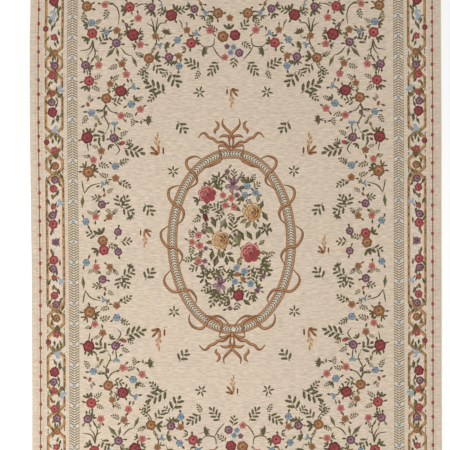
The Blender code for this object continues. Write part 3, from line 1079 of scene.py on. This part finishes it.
@dataclass(frozen=True)
class Side:
    """One side of the border: where its middle lies, which way it runs, and half its length."""

    middle: Point
    inwards: Point
    half_length: float

    def place(self, flip: int) -> Matrix:
        """Return the matrix that lays a drawing made along X, with Y going inwards, on this side."""
        in_x, in_y = self.inwards
        along = Vector((in_y, -in_x, 0.0)) * flip
        columns = (along, Vector((in_x, in_y, 0.0)), Vector((0.0, 0.0, 1.0)))
        turned = Matrix(columns).transposed().to_4x4()
        return Matrix.Translation((*self.middle, 0.0)) @ turned


@dataclass
class Border:
    """The border: plain band, guard lines, flowered chain and laurel, in mm from the edge."""

    width: float = 1600.0
    length: float = 2300.0
    inner_edge: float = 194.0
    thin_lines: tuple[tuple[Yarn, float, float], ...] = (
        (Yarn.LINE_ROSE, 23.0, 2.6),
        (Yarn.GUARD, 34.0, 6.2),
        (Yarn.LINE_ROSE, 45.0, 2.6),
        (Yarn.LINE_GREY, 147.0, 3.2),
        (Yarn.LINE_GREY, 184.5, 3.2),
    )
    guard_line: float = 34.0
    dash_pitch: float = 55.0
    chain_middle: float = 94.5
    chain_half: float = 36.0
    slant: float = 0.62
    end_inset: float = 1.3
    blunt_end: float = 0.34
    leaves_start: float = 20.0
    leaves_end: float = 130.0
    rail_leaf_inset: float = 4.0
    corner_room: float = 10.0
    middle_star: float = 18.0
    corner_rose: float = 24.0
    laurel_middle: float = 165.5
    laurel_pitch: float = 10.0
    laurel_half: float = 18.0
    laurel_flower_every: int = 8
    long_links: Rows = (
        (0, 266, 37), (303, 41, 36), (385, 41, 36), (505, 84, 37), (622, 41, 36), (698, 39, 36),
        (861, 126, 37), (1052, 66, 40),
    )
    end_links: Rows = (
        (0, 266, 37), (303, 41, 36), (385, 41, 36), (505, 84, 37), (622, 41, 36), (702, 66, 40),
    )
    chain_flowers: Places = (
        (Bloom.RED_ROSE, 70, 87, 20), (Bloom.PLUM_ROSE, 105, 85, 17), (Bloom.RED_ROSE, 138, 88, 11, 30),
        (Bloom.PALE_BELL, 150, 113, 17, 40), (Bloom.AMBER_STAR, 180, 84, 7),
        (Bloom.RED_ROSE, 208, 89, 17), (Bloom.PLUM_ROSE, 243, 95, 17), (Bloom.AMBER_ROSE, 297, 97, 17),
        (Bloom.RED_STAR, 359, 96, 17), (Bloom.CRIMSON_ROSE, 390, 65, 12, 0),
        (Bloom.PALE_BELL, 436, 94, 20, 80), (Bloom.CRIMSON_ROSE, 507, 88, 21),
        (Bloom.PLUM_ROSE, 545, 85, 17), (Bloom.RED_ROSE, 579, 88, 13),
        (Bloom.PALE_BELL, 592, 116, 18, 50), (Bloom.AMBER_STAR, 622, 85, 7),
        (Bloom.RED_ROSE, 650, 88, 17), (Bloom.PLUM_ROSE, 687, 97, 18),
    )
    far_flowers: Places = (
        (Bloom.AMBER_ROSE, 738, 97, 15), (Bloom.RED_STAR, 799, 94, 16),
        (Bloom.CRIMSON_ROSE, 832, 62, 12), (Bloom.PALE_BELL, 876, 84, 19, 100),
        (Bloom.PALE_BELL, 900, 92, 15, 200), (Bloom.CRIMSON_ROSE, 940, 92, 21),
        (Bloom.AMBER_STAR, 978, 94, 14),
    )

    def sides(self) -> list[Side]:
        """Return the four sides of the rug, the long ones first."""
        half_width, half_length = self.width / 2, self.length / 2
        return [
            Side((-half_width, 0.0), (1.0, 0.0), half_length),
            Side((half_width, 0.0), (-1.0, 0.0), half_length),
            Side((0.0, half_length), (0.0, -1.0), half_width),
            Side((0.0, -half_length), (0.0, 1.0), half_width),
        ]

    def link(self, motif: Motif, middle: float, half_length: float, half_width: float) -> None:
        """Lay one link of the chain as nested shapes with slanting ends.

        Args:
            motif: Where it is laid.
            middle: Its middle along the side.
            half_length: Half its length.
            half_width: Half its width.
        """
        coats = ((Yarn.SAGE, 0.0), (Yarn.COCOA, 1.6), (Yarn.BRASS, 3.2), (Yarn.BAND_CREAM, 10.6))
        for yarn, inset in coats:
            made = bmesh.ops.create_grid(motif.mesh, x_segments=1, y_segments=1, size=1.0)
            high = half_width - inset
            reach = (half_length - inset * self.end_inset - high * self.slant, high, 1.0)
            bmesh.ops.scale(motif.mesh, vec=reach, verts=made["verts"])
            centre = (middle, self.chain_middle, 0.0)
            bmesh.ops.translate(motif.mesh, vec=centre, verts=made["verts"])
            body = made["verts"][0].link_faces[0]
            motif.dye([body], yarn)
            ends = [edge for edge in body.edges if abs(edge.verts[0].co.x - edge.verts[1].co.x) < 1e-3]
            for edge in ends:
                outwards = math.copysign(high * self.slant, edge.verts[0].co.x - middle)
                cap = bmesh.ops.extrude_edge_only(motif.mesh, edges=[edge])["geom"]
                tip = [part for part in cap if isinstance(part, bmesh.types.BMVert)]
                for vert in tip:
                    vert.co.x += outwards
                    vert.co.y = self.chain_middle + (vert.co.y - self.chain_middle) * self.blunt_end
                motif.dye(tip[0].link_faces, yarn)

    def chain(self, half_length: float) -> Motif:
        """Return the chain's links along one half of a side."""
        motif = Motif()
        rows = self.long_links if half_length > self.width / 2 else self.end_links
        for row in sorted(rows, key=lambda row: row[1] > 50):
            self.link(motif, *row)
        return motif

    def rail_leaves(self, half_length: float) -> Motif:
        """Return the small leaves that grow along the chain's rails and between its flowers."""
        motif = Motif()
        maker = random.Random(11)
        reach = half_length - self.leaves_end
        station = self.leaves_start
        while station < reach:
            side = maker.choice((-1, 1))
            root = (station, self.chain_middle + side * maker.uniform(4.0, 20.0))
            turn = maker.uniform(-40.0, 40.0) + maker.choice((0.0, 180.0))
            yarn = maker.choice((Yarn.MOSS, Yarn.OLIVE, Yarn.SAGE))
            motif.leaf(yarn, root, maker.uniform(24.0, 34.0), maker.uniform(10.0, 13.0), turn, 5)
            rail = self.chain_middle + side * (self.chain_half - self.rail_leaf_inset)
            length, turn = maker.uniform(14.0, 20.0), 180.0 * maker.randint(0, 1)
            motif.leaf(Yarn.OLIVE, (station + 9.0, rail), length, 5.0, turn, 5)
            station += maker.uniform(8.5, 12.5)
        return motif

    def laurel(self, half_length: float) -> Motif:
        """Return the laurel along one half of a side: chevrons, and a small flower now and then."""
        motif = Motif()
        middle = self.laurel_middle
        count = int((half_length - middle) / self.laurel_pitch)
        for number in range(count + 1):
            station = number * self.laurel_pitch
            if number % self.laurel_flower_every == 0:
                for turn in range(4):
                    centre = Vector((station, middle)) + pointing(45 + 90 * turn, 4.6)
                    motif.oval(Yarn.BLUE_PALE, centre, (8.0, 9.0), 45 + 90 * turn, 5)
                motif.oval(Yarn.BLUE, (station, middle), (7.0, 7.0), 90, 5)
                continue
            for side in (-1, 1):
                start = Vector((station - 6.5, middle + side * self.laurel_half))
                end = Vector((station + 4.0, middle + side * 1.0))
                motif.strip(Yarn.LAUREL, [start, end], (3.0, 4.2))
        return motif

    def dashes(self, half_length: float) -> Motif:
        """Return the red lozenges on the guard line along one half of a side."""
        motif = Motif()
        station = self.dash_pitch / 2
        while station < half_length - self.guard_line:
            motif.oval(Yarn.RED, (station, self.guard_line), (13.0, 18.0), 0, 6)
            station += self.dash_pitch
        return motif

    def lay_out(self, cartoon: Cartoon, book: PatternBook) -> None:
        """Lay the whole border."""
        whole = Matrix.Identity(4)
        half_width, half_length = self.width / 2, self.length / 2
        lines = Motif()
        for yarn, inset, width in self.thin_lines:
            lines.frame_line(yarn, (half_width - inset, half_length - inset), width)
        cartoon.lay(lines, whole, Level.BAND)
        for side in self.sides():
            long_side = side.half_length > half_width
            chain, leaves = self.chain(side.half_length), self.rail_leaves(side.half_length)
            laurel, dashes = self.laurel(side.half_length), self.dashes(side.half_length)
            flowers = self.chain_flowers + (self.far_flowers if long_side else ())
            corner = side.half_length - self.chain_middle
            for flip in (1, -1):
                place = side.place(flip)
                cartoon.lay(dashes, place, Level.STEM)
                cartoon.lay(chain, place, Level.STEM)
                cartoon.lay(laurel, place, Level.LEAF)
                cartoon.lay(leaves, place, Level.LEAF)
                for kind, *row in flowers:
                    if row[0] < corner - self.corner_room:
                        cartoon.lay_spot(book.page(kind), row, place, Level.BLOOM)
            star = (0.0, self.chain_middle, self.middle_star)
            cartoon.lay_spot(book.page(Bloom.LILAC_STAR), star, side.place(1), Level.BLOOM)
            if long_side:
                rose = (corner, self.chain_middle, self.corner_rose)
                for flip in (1, -1):
                    page = book.page(Bloom.CRIMSON_ROSE)
                    cartoon.lay_spot(page, rose, side.place(flip), Level.BLOOM)


@dataclass(frozen=True)
class Crease:
    """A soft crease left from folding: where its middle lies, its reach and its lift, in metres."""

    across: float
    along: float
    half_length: float
    half_width: float
    lift: float


@dataclass(frozen=True)
class WovenFinish:
    """How a face of the cloth looks: its relief, its streaks and its dryness."""

    name: str
    rib_pitch: float
    stitch_pitch: float
    relief: float
    streak: float
    mottle: float
    roughness: float
    plain_dye: Yarn | None = None

    def material(self, weave: bpy.types.NodeTree) -> bpy.types.Material:
        """Return the finish as a material.

        Args:
            weave: The shader group that draws the ribs, the yarn's streaks and the painted shade in the
                grooves between the ribs.

        Returns:
            The material.
        """
        material = bpy.data.materials.new(self.name)
        material.use_nodes = True
        tree = material.node_tree
        nodes, links = tree.nodes, tree.links
        shader = nodes["Principled BSDF"]
        shader.inputs["Roughness"].default_value = self.roughness
        shader.inputs["Specular IOR Level"].default_value = 0.25
        shader.inputs["Sheen Weight"].default_value = 0.06
        shader.inputs["Sheen Roughness"].default_value = 0.5
        cloth = nodes.new("ShaderNodeGroup")
        cloth.node_tree = weave
        cloth.inputs["Rib Pitch"].default_value = self.rib_pitch
        cloth.inputs["Stitch Pitch"].default_value = self.stitch_pitch
        cloth.inputs["Streak"].default_value = self.streak
        cloth.inputs["Mottle"].default_value = self.mottle
        if self.plain_dye is None:
            yarn = nodes.new("ShaderNodeAttribute")
            yarn.attribute_name = "yarn_colour"
            links.new(yarn.outputs["Color"], cloth.inputs["Yarn Colour"])
            links.new(yarn.outputs["Alpha"], cloth.inputs["Fleck"])
        else:
            *colour, fleck = self.plain_dye.value.linear()
            cloth.inputs["Yarn Colour"].default_value = (*colour, 1.0)
            cloth.inputs["Fleck"].default_value = fleck
        links.new(cloth.outputs["Colour"], shader.inputs["Base Color"])
        bump = nodes.new("ShaderNodeBump")
        bump.inputs["Distance"].default_value = self.relief
        bump.inputs["Strength"].default_value = 1.0
        links.new(cloth.outputs["Height"], bump.inputs["Height"])
        links.new(bump.outputs["Normal"], shader.inputs["Normal"])
        return material


class WeaveGroup:
    """Builds the shader group that every face of the cloth shares.

    Each scale is how many cells of noise there are in a metre across, along and up.
    """

    FIBRE_SCALE = (700.0, 1500.0, 700.0)
    SLUB_SCALE = (44.0, 250.0, 44.0)
    PASS_SCALE = (3.0, 160.0, 3.0)
    CLOUD_SCALE = (2.2, 3.5, 2.2)
    FLECK_SCALE = (380.0, 900.0, 380.0)
    CLOUD_DEPTH = 0.08
    # Painted shade: how much the yarn's colour is darkened in the grooves between the ribs.
    PAINTED_GROOVE_SHADE = 0.12
    FLECK_GAIN = 2.4

    def __init__(self) -> None:
        """Make the group with its sockets and nodes."""
        self.tree = bpy.data.node_groups.new("loomed_weave", "ShaderNodeTree")
        face = self.tree.interface
        inputs = (
            ("Yarn Colour", "NodeSocketColor"), ("Fleck", "NodeSocketFloat"),
            ("Rib Pitch", "NodeSocketFloat"), ("Stitch Pitch", "NodeSocketFloat"),
            ("Streak", "NodeSocketFloat"), ("Mottle", "NodeSocketFloat"),
        )
        for name, kind in inputs:
            face.new_socket(name=name, in_out="INPUT", socket_type=kind)
        face.new_socket(name="Colour", in_out="OUTPUT", socket_type="NodeSocketColor")
        face.new_socket(name="Height", in_out="OUTPUT", socket_type="NodeSocketFloat")
        self.given = self.tree.nodes.new("NodeGroupInput")
        self.result = self.tree.nodes.new("NodeGroupOutput")
        self.build()

    def math(self, operation: str, *values: object) -> bpy.types.NodeSocket:
        """Add a Math node and return its result; a value is a number or another node's socket."""
        node = self.tree.nodes.new("ShaderNodeMath")
        node.operation = operation
        for socket, value in zip(node.inputs, values):
            if isinstance(value, bpy.types.NodeSocket):
                self.tree.links.new(value, socket)
            else:
                socket.default_value = value
        return node.outputs[0]

    def noise(self, scale: tuple[float, float, float], detail: float) -> bpy.types.NodeSocket:
        """Add a noise over the piece, as many cells a metre as scale says, and return its value."""
        nodes, links = self.tree.nodes, self.tree.links
        mapping = nodes.new("ShaderNodeMapping")
        mapping.inputs["Scale"].default_value = scale
        links.new(self.coordinates.outputs["Object"], mapping.inputs["Vector"])
        grain = nodes.new("ShaderNodeTexNoise")
        grain.inputs["Scale"].default_value = 1.0
        grain.inputs["Detail"].default_value = detail
        links.new(mapping.outputs["Vector"], grain.inputs["Vector"])
        return grain.outputs["Fac"]

    def hump(self, place: bpy.types.NodeSocket) -> bpy.types.NodeSocket:
        """Return a round hump over each whole step of a place: 0 at its edges, 1 in its middle."""
        share = self.math("FRACT", place)
        centred = self.math("MULTIPLY_ADD", share, 2.0, -1.0)
        return self.math("SUBTRACT", 1.0, self.math("MULTIPLY", centred, centred))

    def build(self) -> None:
        """Wire the ribs, the streaks and the flecks, and darken the colour in the grooves between the ribs
        as painted shade.
        """
        nodes, links, given = self.tree.nodes, self.tree.links, self.given.outputs
        self.coordinates = nodes.new("ShaderNodeTexCoord")
        split = nodes.new("ShaderNodeSeparateXYZ")
        links.new(self.coordinates.outputs["Object"], split.inputs[0])
        row = self.math("DIVIDE", split.outputs["Y"], given["Rib Pitch"])
        offset = self.math("MULTIPLY", self.math("FLOOR", row), 0.5)
        column = self.math("ADD", self.math("DIVIDE", split.outputs["X"], given["Stitch Pitch"]), offset)
        rib, stitch = self.hump(row), self.hump(column)
        fibre = self.noise(self.FIBRE_SCALE, 2.0)
        height = self.math("MULTIPLY_ADD", rib, 0.6, self.math("MULTIPLY", stitch, 0.25))
        height = self.math("MULTIPLY_ADD", fibre, 0.3, height)
        links.new(height, self.result.inputs["Height"])
        slub = self.noise(self.SLUB_SCALE, 3.0)
        passes = self.noise(self.PASS_SCALE, 2.0)
        cloud = self.noise(self.CLOUD_SCALE, 1.0)
        shade = self.math("SUBTRACT", slub, 0.5)
        shade = self.math("MULTIPLY", shade, given["Mottle"])
        bar = self.math("MULTIPLY", self.math("SUBTRACT", passes, 0.5), given["Streak"])
        wear = self.math("MULTIPLY", self.math("SUBTRACT", cloud, 0.5), self.CLOUD_DEPTH)
        # Painted shade: the colour is darkened in the grooves between the ribs, where shade would fall; the
        # relief itself is the bump from Height.
        painted_groove_shade = self.math("MULTIPLY_ADD", rib, self.PAINTED_GROOVE_SHADE, 0.82)
        light = self.math("ADD", self.math("ADD", shade, bar), self.math("ADD", wear, 1.0))
        light = self.math("MULTIPLY", light, painted_groove_shade)
        fleck_noise = self.noise(self.FLECK_SCALE, 1.0)
        fleck = self.math("MULTIPLY", self.math("SUBTRACT", fleck_noise, 0.5), self.FLECK_GAIN)
        fleck = self.math("MULTIPLY", self.math("MAXIMUM", fleck, 0.0), given["Fleck"])
        pale = nodes.new("ShaderNodeMix")
        pale.data_type = "RGBA"
        *ground, _ = Yarn.FIELD_CREAM.value.linear()
        pale.inputs[7].default_value = (*ground, 1.0)
        links.new(fleck, pale.inputs[0])
        links.new(given["Yarn Colour"], pale.inputs[6])
        tint = nodes.new("ShaderNodeVectorMath")
        tint.operation = "SCALE"
        links.new(pale.outputs[2], tint.inputs[0])
        links.new(light, tint.inputs["Scale"])
        links.new(tint.outputs[0], self.result.inputs["Colour"])


@dataclass
class WovenPanel:
    """The rug: one woven sheet with rounded selvedges, turned hems and a few soft creases."""

    width: float = 1.60
    length: float = 2.30
    thickness: float = 0.004
    hem_depth: float = 0.022
    hem_ramp: float = 0.006
    hem_rise: float = 0.0012
    selvedge_depth: float = 0.008
    selvedge_thickness: float = 0.0032
    rim_round: float = 0.0009
    grid_pitch: float = 0.042
    cockle: float = 0.00025
    cockle_scale: Point = (9.0, 14.0)
    calm_edge: float = 0.05
    slope_step: float = 0.004
    chart_spans: Rows = ((0.004, 0.872), (0.880, 0.890), (0.898, 0.996))
    chart_margin: float = 0.004
    rim_height: float = 0.008
    side_drift: Rows = (
        (-1.15, -0.0012, -0.0025), (-0.78, -0.0005, -0.0022), (-0.62, -0.0015, -0.0018),
        (-0.09, -0.0016, -0.0003), (0.12, 0.0003, 0.0003), (0.47, 0.0029, 0.0018),
        (0.61, 0.0026, 0.0015), (0.77, 0.0018, 0.0014), (0.94, -0.0015, 0.0014),
        (1.15, -0.0005, 0.0020),
    )
    creases: tuple[Crease, ...] = (
        Crease(0.31, 0.28, 0.17, 0.060, 0.0016),
        Crease(-0.35, 0.21, 0.15, 0.055, 0.0013),
        Crease(0.05, -0.56, 0.28, 0.060, 0.0010),
        Crease(-0.02, 0.32, 0.14, 0.050, 0.0008),
    )
    upper: WovenFinish = WovenFinish("woven_face", 0.0026, 0.0042, 0.0007, 0.16, 0.90, 0.92)
    edge: WovenFinish = WovenFinish(
        "bound_edge", 0.0026, 0.0042, 0.0006, 0.05, 0.24, 0.92, Yarn.EDGE_SAND
    )
    under: WovenFinish = WovenFinish(
        "reverse_face", 0.0026, 0.0052, 0.0006, 0.16, 0.44, 0.95, Yarn.LINE_GREY
    )

    def drift(self, along: float, rightwards: bool) -> float:
        """Return how far a side edge stands out at a place along the rug."""
        column = 2 if rightwards else 1
        for low, high in zip(self.side_drift, self.side_drift[1:]):
            if along <= high[0]:
                share = (along - low[0]) / (high[0] - low[0])
                eased = share * share * (3.0 - 2.0 * share)
                return low[column] + (high[column] - low[column]) * eased
        return self.side_drift[-1][column]

    def lift(self, across: float, along: float) -> float:
        """Return how far the cloth is lifted off the floor at a place."""
        return sum(
            crease.lift
            * swell((across - crease.across) / crease.half_length)
            * swell((along - crease.along) / crease.half_width)
            for crease in self.creases
        )

    def cloth_thickness(self, across: float, along: float) -> float:
        """Return the cloth's thickness at a place: thin at the selvedges, raised over the hems."""
        from_end = self.length / 2 - abs(along)
        hem = self.hem_rise * min(1.0, max(0.0, (self.hem_depth + self.hem_ramp - from_end) / self.hem_ramp))
        side_share = 1.0 - (self.width / 2 - abs(across)) / self.selvedge_depth
        thinning = (self.thickness - self.selvedge_thickness) * min(1.0, max(0.0, side_share))
        return self.thickness + hem - thinning

    def stations(self, half: float, marks: Sequence[float]) -> list[float]:
        """Return the places of the ground's lines, in metres, from end to end.

        Args:
            half: Where the last line lies.
            marks: Lines that have to be there on both sides of the middle.

        Returns:
            The places, in order.
        """
        inner = min(marks)
        steps = round(2 * inner / self.grid_pitch)
        even = [-inner + 2 * inner * step / steps for step in range(steps + 1)]
        outer = sorted({*marks, half} - {inner})
        return [-place for place in reversed(outer)] + even + outer

    def ground(self, cartoon: Cartoon, border: Border) -> None:
        """Lay the plain ground as a grid of patches, so that the sheet can follow its creases."""
        half_x, half_y = self.width / 2 - self.rim_round, self.length / 2 - self.rim_round
        marks_x = (self.width / 2 - self.selvedge_depth, self.width / 2 - border.inner_edge * MM)
        hem = self.length / 2 - self.hem_depth
        marks_y = (hem, hem - self.hem_ramp)
        self.lines_x = self.stations(half_x, (marks_x[0],))
        self.lines_y = self.stations(half_y, marks_y)
        motif = Motif()
        sheet = bmesh.ops.create_grid(motif.mesh, x_segments=1, y_segments=1, size=1.0)
        reach = (half_x / MM, half_y / MM, 1.0)
        bmesh.ops.scale(motif.mesh, vec=reach, verts=sheet["verts"])
        for lines, normal in ((self.lines_x, (1, 0, 0)), (self.lines_y, (0, 1, 0))):
            for line in lines[1:-1]:
                parts = [*motif.mesh.verts, *motif.mesh.edges, *motif.mesh.faces]
                spot = [axis * line / MM for axis in normal]
                bmesh.ops.bisect_plane(motif.mesh, geom=parts, dist=1e-4, plane_co=spot, plane_no=normal)
        motif.dye(motif.mesh.faces, Yarn.FIELD_CREAM)
        cartoon.lay(motif, Matrix.Identity(4), Level.GROUND)
        cartoon.ground_corners = len(cartoon.corners)

    def make_top(self, cartoon: Cartoon) -> bmesh.types.BMesh:
        """Return the upper face as a flat mesh in metres, with each face's yarn."""
        corners, triangles, yarns = cartoon.woven()
        mesh = bpy.data.meshes.new("cartoon")
        flat = [(corner.x * MM, corner.y * MM, 0.0) for corner in corners]
        mesh.from_pydata(flat, [], triangles)
        numbers = mesh.attributes.new("yarn", "INT", "FACE")
        numbers.data.foreach_set("value", yarns)
        panel = bmesh.new()
        panel.from_mesh(mesh)
        bpy.data.meshes.remove(mesh)
        bmesh.ops.dissolve_degenerate(panel, dist=1e-7, edges=panel.edges)
        return panel

    def add_rim(self, panel: bmesh.types.BMesh) -> None:
        """Extrude the edge of the upper face outwards and down, and close the underside."""
        rim = [edge for edge in panel.edges if edge.is_boundary]
        half_x, half_y = self.width / 2 - self.rim_round, self.length / 2 - self.rim_round
        quarter_turns = [math.radians(angle) for angle in (30, 60, 90)]
        steps = [(math.sin(turn), 1.0 - math.cos(turn), False) for turn in quarter_turns]
        steps += [(math.cos(turn), 1.0 - math.sin(turn), True) for turn in (0.0, *quarter_turns)]
        for out, down, lower in steps:
            made = bmesh.ops.extrude_edge_only(panel, edges=rim)["geom"]
            rim = [part for part in made if isinstance(part, bmesh.types.BMEdge)]
            fresh = {vert for edge in rim for vert in edge.verts}
            walls = {face for edge in rim for face in edge.link_faces}
            for face in walls:
                face.material_index = 1
            for vert in fresh:
                across = max(-half_x, min(half_x, vert.co.x))
                along = max(-half_y, min(half_y, vert.co.y))
                on_side, on_end = abs(across) > half_x - 1e-6, abs(along) > half_y - 1e-6
                edge_x = math.copysign(self.rim_round * out, across) if on_side else 0.0
                edge_y = math.copysign(self.rim_round * out, along) if on_end else 0.0
                share = down * self.rim_round / self.cloth_thickness(across, along)
                height = share - 1.0 if lower else -share
                vert.co = (across + edge_x, along + edge_y, height)
        cap = bmesh.ops.contextual_create(panel, geom=rim)["faces"]
        for face in cap:
            face.material_index = 2
        parts = {part for face in cap for part in (*face.verts, *face.edges, face)}
        for lines, normal in ((self.lines_x, (1, 0, 0)), (self.lines_y, (0, 1, 0))):
            for line in lines[1:-1]:
                spot = [axis * line for axis in normal]
                cut = bmesh.ops.bisect_plane(
                    panel, geom=list(parts), dist=1e-6, plane_co=spot, plane_no=normal
                )
                parts = set(cut["geom"])

    def settle(self, panel: bmesh.types.BMesh) -> None:
        """Give each point its height over the floor and let the sides wander."""
        for vert in panel.verts:
            across, along, share = vert.co
            height = self.height(across, along, share)
            across *= 1.0 + self.drift(along, across > 0) / (self.width / 2)
            vert.co = (across, along, height)

    def height(self, across: float, along: float, share: float = 0.0) -> float:
        """Return a point's height over the floor; share is 0 on the upper face and -1 below."""
        inland = min(self.width / 2 - abs(across), self.length / 2 - abs(along)) / self.calm_edge
        place = (across * self.cockle_scale[0], along * self.cockle_scale[1], 0.0)
        wave = noise.noise(place) * min(1.0, max(0.0, inland))
        thick = self.cloth_thickness(across, along) + self.cockle * wave
        return self.lift(across, along) + thick * (1.0 + share)

    def shade(self, mesh: bpy.types.Mesh) -> None:
        """Shade the upper face by its height, and not by the narrow slips between its yarns."""
        mesh.shade_smooth()
        upper = {index for face in mesh.polygons if face.material_index == 0 for index in face.vertices}
        step = self.slope_step
        normals = []
        for vert, own in zip(mesh.vertices, mesh.vertex_normals):
            if vert.index not in upper:
                normals.append(own.vector)
                continue
            across, along, _ = vert.co
            rise_x = self.height(across + step, along) - self.height(across - step, along)
            rise_y = self.height(across, along + step) - self.height(across, along - step)
            normals.append(Vector((-rise_x, -rise_y, 2.0 * step)).normalized())
        mesh.normals_split_custom_set_from_vertices(normals)

    def unwrap(self, panel: bmesh.types.BMesh) -> None:
        """Lay the faces out for baking: the upper face takes most of the map."""
        chart = panel.loops.layers.uv.new("OFBake")
        margin = self.chart_margin
        for face in panel.faces:
            low, high = self.chart_spans[face.material_index]
            for loop in face.loops:
                across = loop.vert.co.x / (self.width + 0.01) + 0.5
                along = loop.vert.co.y / (self.length + 0.01) + 0.5
                if face.material_index == 1:
                    across = loop.vert.co.z / self.rim_height
                loop[chart].uv = (low + (high - low) * across, margin + (1.0 - 2.0 * margin) * along)

    def dress(self, rug: bpy.types.Object) -> None:
        """Give the rug its materials and write each corner's yarn colour."""
        weave = WeaveGroup().tree
        for finish in (self.upper, self.edge, self.under):
            rug.data.materials.append(finish.material(weave))
        mesh = rug.data
        numbers = np.zeros(len(mesh.polygons), dtype=np.int32)
        mesh.attributes["yarn"].data.foreach_get("value", numbers)
        dyes = np.array([yarn.value.linear() for yarn in YARNS], dtype=np.float32)
        sizes = np.zeros(len(mesh.polygons), dtype=np.int32)
        mesh.polygons.foreach_get("loop_total", sizes)
        colours = np.repeat(dyes[numbers], sizes, axis=0)
        layer = mesh.color_attributes.new("yarn_colour", "FLOAT_COLOR", "CORNER")
        layer.data.foreach_set("color", colours.ravel())
        mesh.attributes.remove(mesh.attributes["yarn"])

    def build(self) -> bpy.types.Object:
        """Weave the whole rug and return its object."""
        book, border, cartoon = PatternBook(), Border(), Cartoon()
        self.ground(cartoon, border)
        border.lay_out(cartoon, book)
        FieldSprays().lay_out(cartoon, book)
        Medallion().lay_out(cartoon, book)
        log.info("cartoon: %d patches, %d corners", len(cartoon.patches), len(cartoon.corners))
        panel = self.make_top(cartoon)
        self.add_rim(panel)
        self.settle(panel)
        bmesh.ops.recalc_face_normals(panel, faces=panel.faces)
        self.unwrap(panel)
        mesh = bpy.data.meshes.new("woven_rug")
        panel.to_mesh(mesh)
        panel.free()
        self.shade(mesh)
        rug = bpy.data.objects.new("woven_rug", mesh)
        bpy.context.scene.collection.objects.link(rug)
        self.dress(rug)
        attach(rug, "root")
        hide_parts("rug")
        log.info("woven_rug: %d faces", len(mesh.polygons))
        return rug


@dataclass
class Studio:
    """The pale floor, the soft light and the camera straight above the rug."""

    middle: Point = (-0.0433, 0.064)
    view_width: float = 1.755
    lens: float = 85.0
    sensor: float = 36.0
    roll: float = -0.26
    rug_top: float = 0.004
    floor_reach: float = 12.0
    sky: float = 0.70
    lamp_power: float = 108.0
    lamp_size: float = 2.6
    lamp_place: tuple[float, float, float] = (-1.9, -1.7, 3.4)
    floor_drop: float = 0.0002
    floor_tints: Point = (0.94, 0.97)

    def floor(self) -> bpy.types.Object:
        """Lay the pale floor just under the rug."""
        sheet = bmesh.new()
        bmesh.ops.create_grid(sheet, x_segments=2, y_segments=2, size=self.floor_reach)
        bmesh.ops.translate(sheet, vec=(0.0, 0.0, -self.floor_drop), verts=sheet.verts)
        mesh = bpy.data.meshes.new("floor")
        sheet.to_mesh(mesh)
        sheet.free()
        floor = bpy.data.objects.new("floor", mesh)
        bpy.context.scene.collection.objects.link(floor)
        material = bpy.data.materials.new("pale_floor")
        material.use_nodes = True
        tree = material.node_tree
        shader = tree.nodes["Principled BSDF"]
        shader.inputs["Roughness"].default_value = 0.8
        shader.inputs["Specular IOR Level"].default_value = 0.2
        grain = tree.nodes.new("ShaderNodeTexNoise")
        grain.inputs["Scale"].default_value = 40.0
        ramp = tree.nodes.new("ShaderNodeValToRGB")
        for stop, tint in zip(ramp.color_ramp.elements, self.floor_tints):
            stop.color = (tint, tint, tint, 1.0)
        tree.links.new(grain.outputs["Fac"], ramp.inputs["Fac"])
        tree.links.new(ramp.outputs["Color"], shader.inputs["Base Color"])
        mesh.materials.append(material)
        return floor

    def camera(self) -> bpy.types.Object:
        """Hang the camera straight above the rug, turned as the photograph's is."""
        lens = bpy.data.cameras.new("camera")
        lens.lens, lens.sensor_width = self.lens, self.sensor
        camera = bpy.data.objects.new("camera", lens)
        height = self.view_width * self.lens / self.sensor + self.rug_top
        camera.location = (*self.middle, height)
        camera.rotation_euler = (0.0, 0.0, math.radians(self.roll))
        bpy.context.scene.collection.objects.link(camera)
        bpy.context.scene.camera = camera
        return camera

    def light(self) -> None:
        """Set the even sky and the large soft lamp at the lower left."""
        world = bpy.data.worlds.new("studio")
        world.use_nodes = True
        sky = world.node_tree.nodes["Background"]
        sky.inputs["Color"].default_value = (1.0, 1.0, 1.0, 1.0)
        sky.inputs["Strength"].default_value = self.sky
        bpy.context.scene.world = world
        panel = bpy.data.lights.new("softbox", "AREA")
        panel.shape = "SQUARE"
        panel.size = self.lamp_size
        panel.energy = self.lamp_power
        lamp = bpy.data.objects.new("softbox", panel)
        lamp.location = self.lamp_place
        lamp.rotation_euler = (-lamp.location).to_track_quat("-Z", "Y").to_euler()
        bpy.context.scene.collection.objects.link(lamp)

    def build(self) -> None:
        """Set up the whole studio."""
        self.floor()
        self.camera()
        self.light()
        bpy.context.scene.view_settings.view_transform = "Standard"
        log.info("studio: floor, softbox and camera")


def main() -> None:
    """Build the studio and the rug."""
    logging.basicConfig(level=logging.INFO, format="%(name)s: %(message)s")
    Studio().build()
    WovenPanel().build()


if __name__ == "__main__":
    main()
